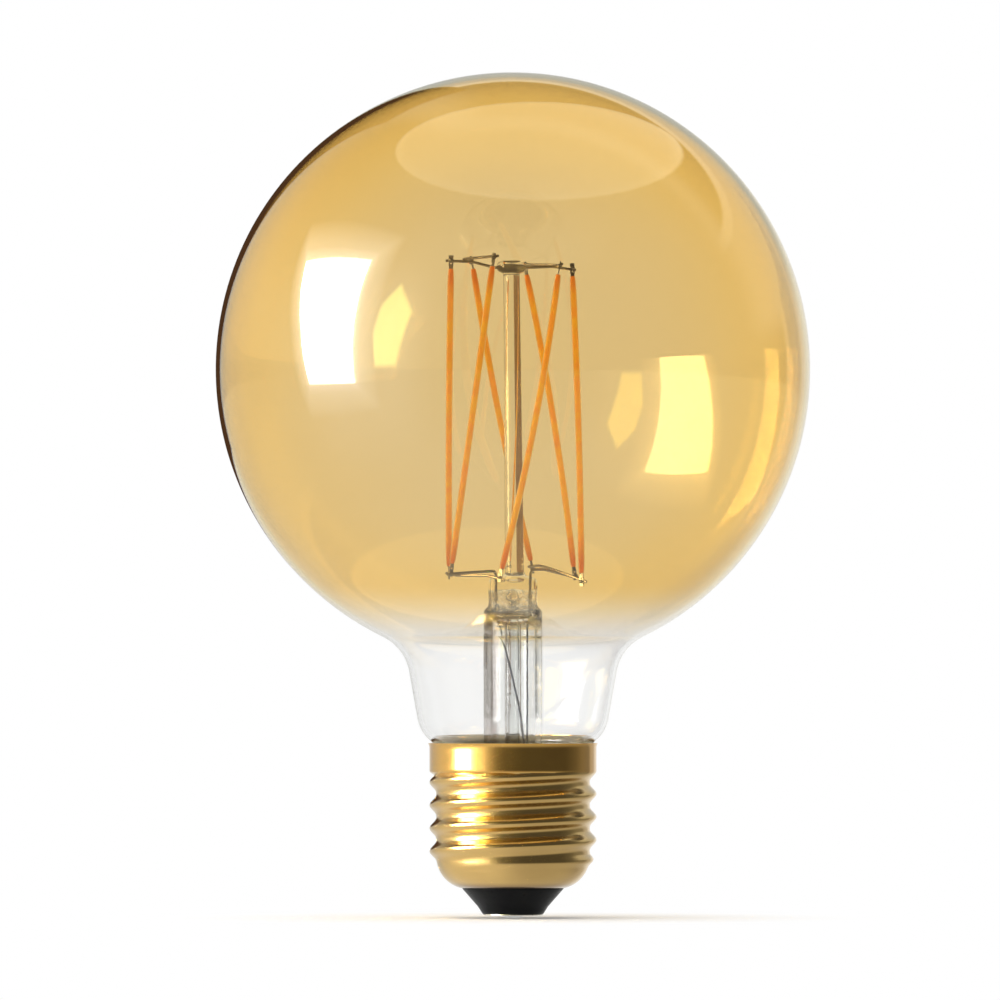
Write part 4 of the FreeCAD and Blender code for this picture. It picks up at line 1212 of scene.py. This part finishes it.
class BULB_OT_wires(bpy.types.Operator):
    """Finish the wires, the chips and the driver inside the cap"""

    bl_idname = "bulb.wires"
    bl_label = "Finish wires and driver"

    def execute(self, context):
        for finish, nodes in NODE_FINISHES.items():
            for node in nodes:
                dress(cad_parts[node], finish_named(finish))
        dress(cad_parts["driver_board"], board_face())
        return {"FINISHED"}


# Stage: colours of the studio, as it shows in reflections and through the glass
WHITE = (1, 1, 1, 1)
BRIGHT_SIDE = (1.7, 1.7, 1.65, 1)
DIM_CEILING = (0.10, 0.095, 0.09, 1)
FLOOR_LEFT = (0.8, 0.8, 0.79, 1)
FLOOR_RIGHT = (0.5, 0.5, 0.49, 1)
BROWN_FLAG = (0.32, 0.21, 0.14, 1)
GREY_UPPER = (0.55, 0.57, 0.58, 1)

# Bands on the wall behind the bulb: the rise in degrees where each starts and is full, and its colour
BACK_BANDS = [
    (5, 12, (0.56, 0.59, 0.60, 1)),
    (27.5, 28.5, (0.8, 0.8, 0.77, 1)),
    (30.5, 32, (0.08, 0.075, 0.07, 1)),
]

# Brightness of the walls by their turn in degrees, from the camera's side to the right
WALL_LEVELS = [
    (-180, 0.9),
    (-152, 0.55),
    (-111, 0.78),
    (-90, 1.0),
    (-74, 1.0),
    (-44, 1.0),
    (-34, 0.62),
    (-22, 0.24),
    (-12, 0.15),
    (14, 0.09),
    (78, 0.09),
    (98, 0.16),
    (112, 0.26),
    (132, 0.26),
    (134, 0.55),
    (148, 0.55),
    (154, 0.85),
    (180, 1.0),
]

# The round softbox overhead shows as an oval: its middle and its half sizes in mm on the globe's face
TOP_MIDDLE = (4.0, 34.0)
TOP_HALF = (22.0, 7.8)


def oval(middle, half, steps=36):
    """Places round an oval, in mm on the globe's face."""
    places = []
    for n in range(steps):
        turn = math.radians(360 / steps * n)
        places.append((middle[0] + half[0] * math.cos(turn), middle[1] + half[1] * math.sin(turn)))
    return places


# Each softbox: tint, where its corners show on the globe in mm from the middle, rings of size and glow
SOFTBOXES = {
    "side_box": (
        (1, 1, 1),
        [(-32.2, 17.0), (-22.1, 16.8), (-24.8, -2.4), (-31.9, -2.3), (-33.2, 6.0)],
        [(0.96, 1.0), (1.02, 0.10), (1.2, 0.045), (1.7, 0.0)],
    ),
    "warm_box": (
        (1, 1, 0.25),
        [(-17.4, 13.1), (-15.7, 8.7), (-18.4, 0), (-21.7, 0), (-22.0, 5.4), (-20.6, 9.8)],
        [(0.9, 1.0), (1.04, 0.0)],
    ),
    "top_box": (
        (1, 0.98, 0.86),
        oval(TOP_MIDDLE, TOP_HALF),
        [(0.9, 0.8), (1.0, 1.0), (1.03, 0.0)],
    ),
}

# The dark card behind the bulb: its corners' turn in degrees and height in metres, its distance and glow
FLAG_CORNERS = [(-172, 0.045), (-153, 0.045), (-153, 0.45), (-172, 0.45)]
FLAG_DISTANCE = 0.4
FLAG_GLOW = 0.08

# The key light's turn and rise in degrees, its distance and its width in metres
KEY_WAY = (-35, 70)
KEY_DISTANCE = 0.9
KEY_WIDTH = 1.0


def direction(turn_degrees, rise_degrees):
    """From the bulb: turned from the camera's side towards the right, and risen above the level."""
    turn = math.radians(turn_degrees)
    rise = math.radians(rise_degrees)
    return Vector((math.sin(turn) * math.cos(rise), -math.cos(turn) * math.cos(rise), math.sin(rise)))


def bounced(g, kind):
    """Whether a ray has met a surface of that kind."""
    return g.math("GREATER_THAN", g.out("ShaderNodeLightPath", kind + " Depth"), 0.5)


def glow_material(name, strength, tint, opaque=False):
    """A card seen only in reflections, as bright as its glow attribute says, and clear unless opaque."""
    material, g, output = new_material(name)
    level = g.math("MULTIPLY", g.out("ShaderNodeAttribute", "Fac", attribute_name="glow"), strength)
    glow = g.out("ShaderNodeEmission", 0, {"Color": rgba(tint), "Strength": level})
    nothing = g.out("ShaderNodeBsdfTransparent", 0)
    shown = glow if opaque else g.out("ShaderNodeAddShader", 0, {0: nothing, 1: glow})
    mixed = g.out("ShaderNodeMixShader", 0, {0: bounced(g, "Glossy"), 1: nothing, 2: shown})
    g.feed(output, "Surface", mixed)
    material.cycles.emission_sampling = "NONE"
    return material


def mirrored(x, z):
    """The place a metre off that the globe's face shows at x and z, in millimetres from its middle."""
    radius = (glass_high.x - glass_low.x) / 2
    middle = Vector((0, 0, glass_high.z - radius))
    across, up = x * MM / radius, z * MM / radius
    toward = math.sqrt(1 - across**2 - up**2)
    face = Vector((across, -toward, up))
    way = Vector((0, 1, 0)) + face * 2 * toward
    return middle + face * radius + way


def glow_card(name, spots, rings, material):
    """A card whose outline is mirrored at the spots, with rings of growing size and fading glow."""
    corners = [mirrored(x, z) for x, z in spots]
    middle = sum(corners, Vector()) / len(corners)
    points = [middle]
    levels = [rings[0][1]]
    for scale, level in rings:
        points += [middle + (corner - middle) * scale for corner in corners]
        levels += [level] * len(corners)
    count = len(corners)
    faces = [(0, 1 + n, 1 + (n + 1) % count) for n in range(count)]
    for ring in range(len(rings) - 1):
        first = 1 + ring * count
        for n in range(count):
            following = (n + 1) % count
            faces.append((first + n, first + count + n, first + count + following, first + following))
    reflected_only(mesh_object(name, points, faces=faces), levels, material)


def reflected_only(made, levels, material):
    """Gives a card its glow and keeps it out of everything but reflections."""
    glow = made.data.attributes.new("glow", "FLOAT", "POINT")
    glow.data.foreach_set("value", levels)
    made.data.materials.append(material)
    made.visible_camera = False
    made.visible_diffuse = False
    made.visible_shadow = False


def hang_cards(stage):
    """The three softboxes and the dark card that the glass and the brass mirror."""
    for name, (tint, spots, rings) in SOFTBOXES.items():
        glow_card(name, spots, rings, glow_material(name, getattr(stage, name), tint))
    corners = [direction(turn, 0) * FLAG_DISTANCE + Vector((0, 0, height)) for turn, height in FLAG_CORNERS]
    flag = mesh_object("flag", corners, faces=[(0, 1, 2, 3)])
    reflected_only(flag, [1] * len(corners), glow_material("flag", FLAG_GLOW, (1, 0.5, 0.25), opaque=True))


def by_turn(g, turn, start, end, low=0.0, high=1.0):
    """A smooth step over a turn between two angles in degrees."""
    return g.step(turn, math.radians(start), math.radians(end), low, high)


def by_rise(g, rise, start, end):
    """A smooth step over a height of a unit ray between two angles in degrees."""
    return g.step(rise, math.sin(math.radians(start)), math.sin(math.radians(end)))


def wall_ramp(g, turn):
    """The walls' brightness by their turn."""
    ramp = g.add("ShaderNodeValToRGB", {0: g.spread(turn, -math.pi, math.pi)})
    stops = ramp.color_ramp.elements
    while len(stops) < len(WALL_LEVELS):
        stops.new(0.5)
    for stop, (degrees, level) in zip(stops, WALL_LEVELS):
        stop.position = (degrees + 180) / 360
        stop.color = (level, level, level * 0.96, 1)
    return ramp.outputs["Color"]


def reflected_studio(g, x, y, z):
    """What reflections show: the walls by their turn, a dim ceiling, bands behind the bulb, the floor."""
    turn = g.math("ARCTAN2", x, g.math("MULTIPLY", y, -1.0))
    bright = g.math("MULTIPLY", by_turn(g, turn, -94, -70), by_turn(g, turn, -56, -30, 1.0, 0.0))
    walls = g.mix(bright, wall_ramp(g, turn), BRIGHT_SIDE)
    shown = g.mix(by_rise(g, z, 12, 58), walls, DIM_CEILING)
    back = g.math("MULTIPLY", g.step(y, 0.2, 0.5), g.step(x, -0.35, -0.05))
    for start, end, shade in BACK_BANDS:
        shown = g.mix(g.math("MULTIPLY", by_rise(g, z, start, end), back), shown, shade)
    floor_glow = g.mix(g.step(x, -0.6, 0.4), FLOOR_LEFT, FLOOR_RIGHT)
    return g.mix(by_rise(g, g.math("MULTIPLY", z, -1.0), 6, 42), shown, floor_glow)


def studio_behind(g, x, y, z):
    """What the glass bends into view: white, with a brown flag on the left and grey higher up."""
    aside = g.math("ARCTAN2", g.math("MULTIPLY", x, -1.0), y)
    flagged = g.math("MULTIPLY", by_turn(g, aside, 7, 12), by_turn(g, aside, 70, 90, 1.0, 0.0))
    return g.mix(by_rise(g, z, 20, 45), g.mix(flagged, WHITE, BROWN_FLAG), GREY_UPPER)


def build_world(stage):
    """A white backdrop for the camera, even light for the floor, and the studio in and through the glass."""
    world = bpy.data.worlds.new("Studio")
    bpy.context.scene.world = world
    world.use_nodes = True
    world.cycles.sampling_method = "NONE"
    g = Graph(world.node_tree)
    way = g.add("ShaderNodeSeparateXYZ", {"Vector": g.out("ShaderNodeTexCoord", "Generated")}).outputs
    x, y, z = way["X"], way["Y"], way["Z"]
    fill = g.mix(bounced(g, "Diffuse"), studio_behind(g, x, y, z), rgba([stage.fill] * 3))
    seen = g.mix(bounced(g, "Glossy"), fill, reflected_studio(g, x, y, z))
    shown = g.mix(g.out("ShaderNodeLightPath", "Is Camera Ray"), seen, WHITE)
    background = g.out("ShaderNodeBackground", 0, {"Color": shown, "Strength": 1.0})
    g.feed(g.add("ShaderNodeOutputWorld"), "Surface", background)


def floor_material(stage):
    """Pale floor near the bulb, which fades to the backdrop's white further off."""
    material, g, output = new_material("pale_floor")
    flat = g.out("ShaderNodeVectorMath", 0, {0: g.place(), 1: (1, 1, 0)}, operation="MULTIPLY")
    away = g.out("ShaderNodeVectorMath", "Value", {0: flat}, operation="LENGTH")
    far = g.step(away, stage.shadow_reach, stage.shadow_end)
    patches = patches_of(g, (0.97, 0.97, 0.97), (0.955, 0.955, 0.955), 9.0)
    matt = g.out("ShaderNodeBsdfDiffuse", 0, {"Color": patches})
    glow = g.out("ShaderNodeEmission", 0, {"Color": WHITE, "Strength": 1.0})
    g.feed(output, "Surface", g.out("ShaderNodeMixShader", 0, {0: far, 1: matt, 2: glow}))
    material.cycles.emission_sampling = "NONE"
    return material


def lay_floor(stage):
    """The wide floor, just under the bulb's foot."""
    half = stage.floor_width / 2
    drop = 0.05 * MM
    corners = [(x, y, -drop) for x, y in ((-half, -half), (half, -half), (half, half), (-half, half))]
    floor = mesh_object("floor", corners, faces=[(0, 1, 2, 3)])
    floor.data.materials.append(floor_material(stage))
    floor.visible_glossy = False


def soft_lamp(name, place, target, width, power):
    """A square lamp that lights the floor and shows nowhere itself."""
    data = bpy.data.lights.new(name, "AREA")
    data.shape = "SQUARE"
    data.size = width
    data.energy = power
    lamp = bpy.data.objects.new(name, data)
    bpy.context.scene.collection.objects.link(lamp)
    lamp.location = place
    lamp.rotation_euler = (target - place).to_track_quat("-Z", "Y").to_euler()
    lamp.visible_camera = False
    lamp.visible_glossy = False
    lamp.visible_transmission = False


def set_camera(scene, stage):
    """A far, low camera that looks slightly up at the bulb."""
    data = bpy.data.cameras.new("camera")
    data.sensor_width = 36.0
    data.lens = data.sensor_width * stage.camera_distance / stage.seen_width
    data.clip_start = 0.05
    data.clip_end = 20.0
    camera = bpy.data.objects.new("camera", data)
    scene.collection.objects.link(camera)
    camera.location = (stage.camera_right, -stage.camera_distance, stage.camera_height)
    rise = math.atan2(stage.aim_height - stage.camera_height, stage.camera_distance)
    camera.rotation_euler = (math.pi / 2 + rise, 0, 0)
    scene.camera = camera
    scene.view_settings.view_transform = "Standard"


class BULB_OT_stage(bpy.types.Operator):
    """Set the floor, the lights, the reflection cards and the camera"""

    bl_idname = "bulb.stage"
    bl_label = "Set the stage"

    def execute(self, context):
        stage = context.scene.bulb_stage
        lay_floor(stage)
        hang_cards(stage)
        middle = Vector((0, 0, (glass_low.z + glass_high.z) / 2))
        soft_lamp("key", middle + direction(*KEY_WAY) * KEY_DISTANCE, middle, KEY_WIDTH, stage.key)
        build_world(stage)
        set_camera(context.scene, stage)
        return {"FINISHED"}


class BULB_PT_panel(bpy.types.Panel):
    """Lists the bulb's steps and settings"""

    bl_idname = "BULB_PT_panel"
    bl_label = "Globe bulb"
    bl_space_type = "VIEW_3D"
    bl_region_type = "UI"
    bl_category = "Globe bulb"

    def draw(self, context):
        for step in STEPS:
            self.layout.operator(step.bl_idname)
        for name, group in SETTINGS.items():
            box = self.layout.box()
            for setting in group.__annotations__:
                box.prop(getattr(context.scene, name), setting)


STEPS = (
    BULB_OT_globe,
    BULB_OT_stem,
    BULB_OT_screw_shell,
    BULB_OT_cement,
    BULB_OT_cap_foot,
    BULB_OT_strips,
    BULB_OT_wires,
    BULB_OT_stage,
)


def register():
    for kind in (*SETTINGS.values(), *STEPS, BULB_PT_panel):
        bpy.utils.register_class(kind)
    for name, group in SETTINGS.items():
        setattr(bpy.types.Scene, name, PointerProperty(type=group))


def unregister():
    for name in SETTINGS:
        delattr(bpy.types.Scene, name)
    for kind in (BULB_PT_panel, *reversed(STEPS), *reversed(list(SETTINGS.values()))):
        bpy.utils.unregister_class(kind)


def main():
    register()
    bpy.ops.bulb.globe()
    bpy.ops.bulb.stem()
    bpy.ops.bulb.screw_shell()
    bpy.ops.bulb.cement()
    bpy.ops.bulb.cap_foot()
    bpy.ops.bulb.strips()
    bpy.ops.bulb.wires()
    bpy.ops.bulb.stage()


if __name__ == "__main__":
    main()
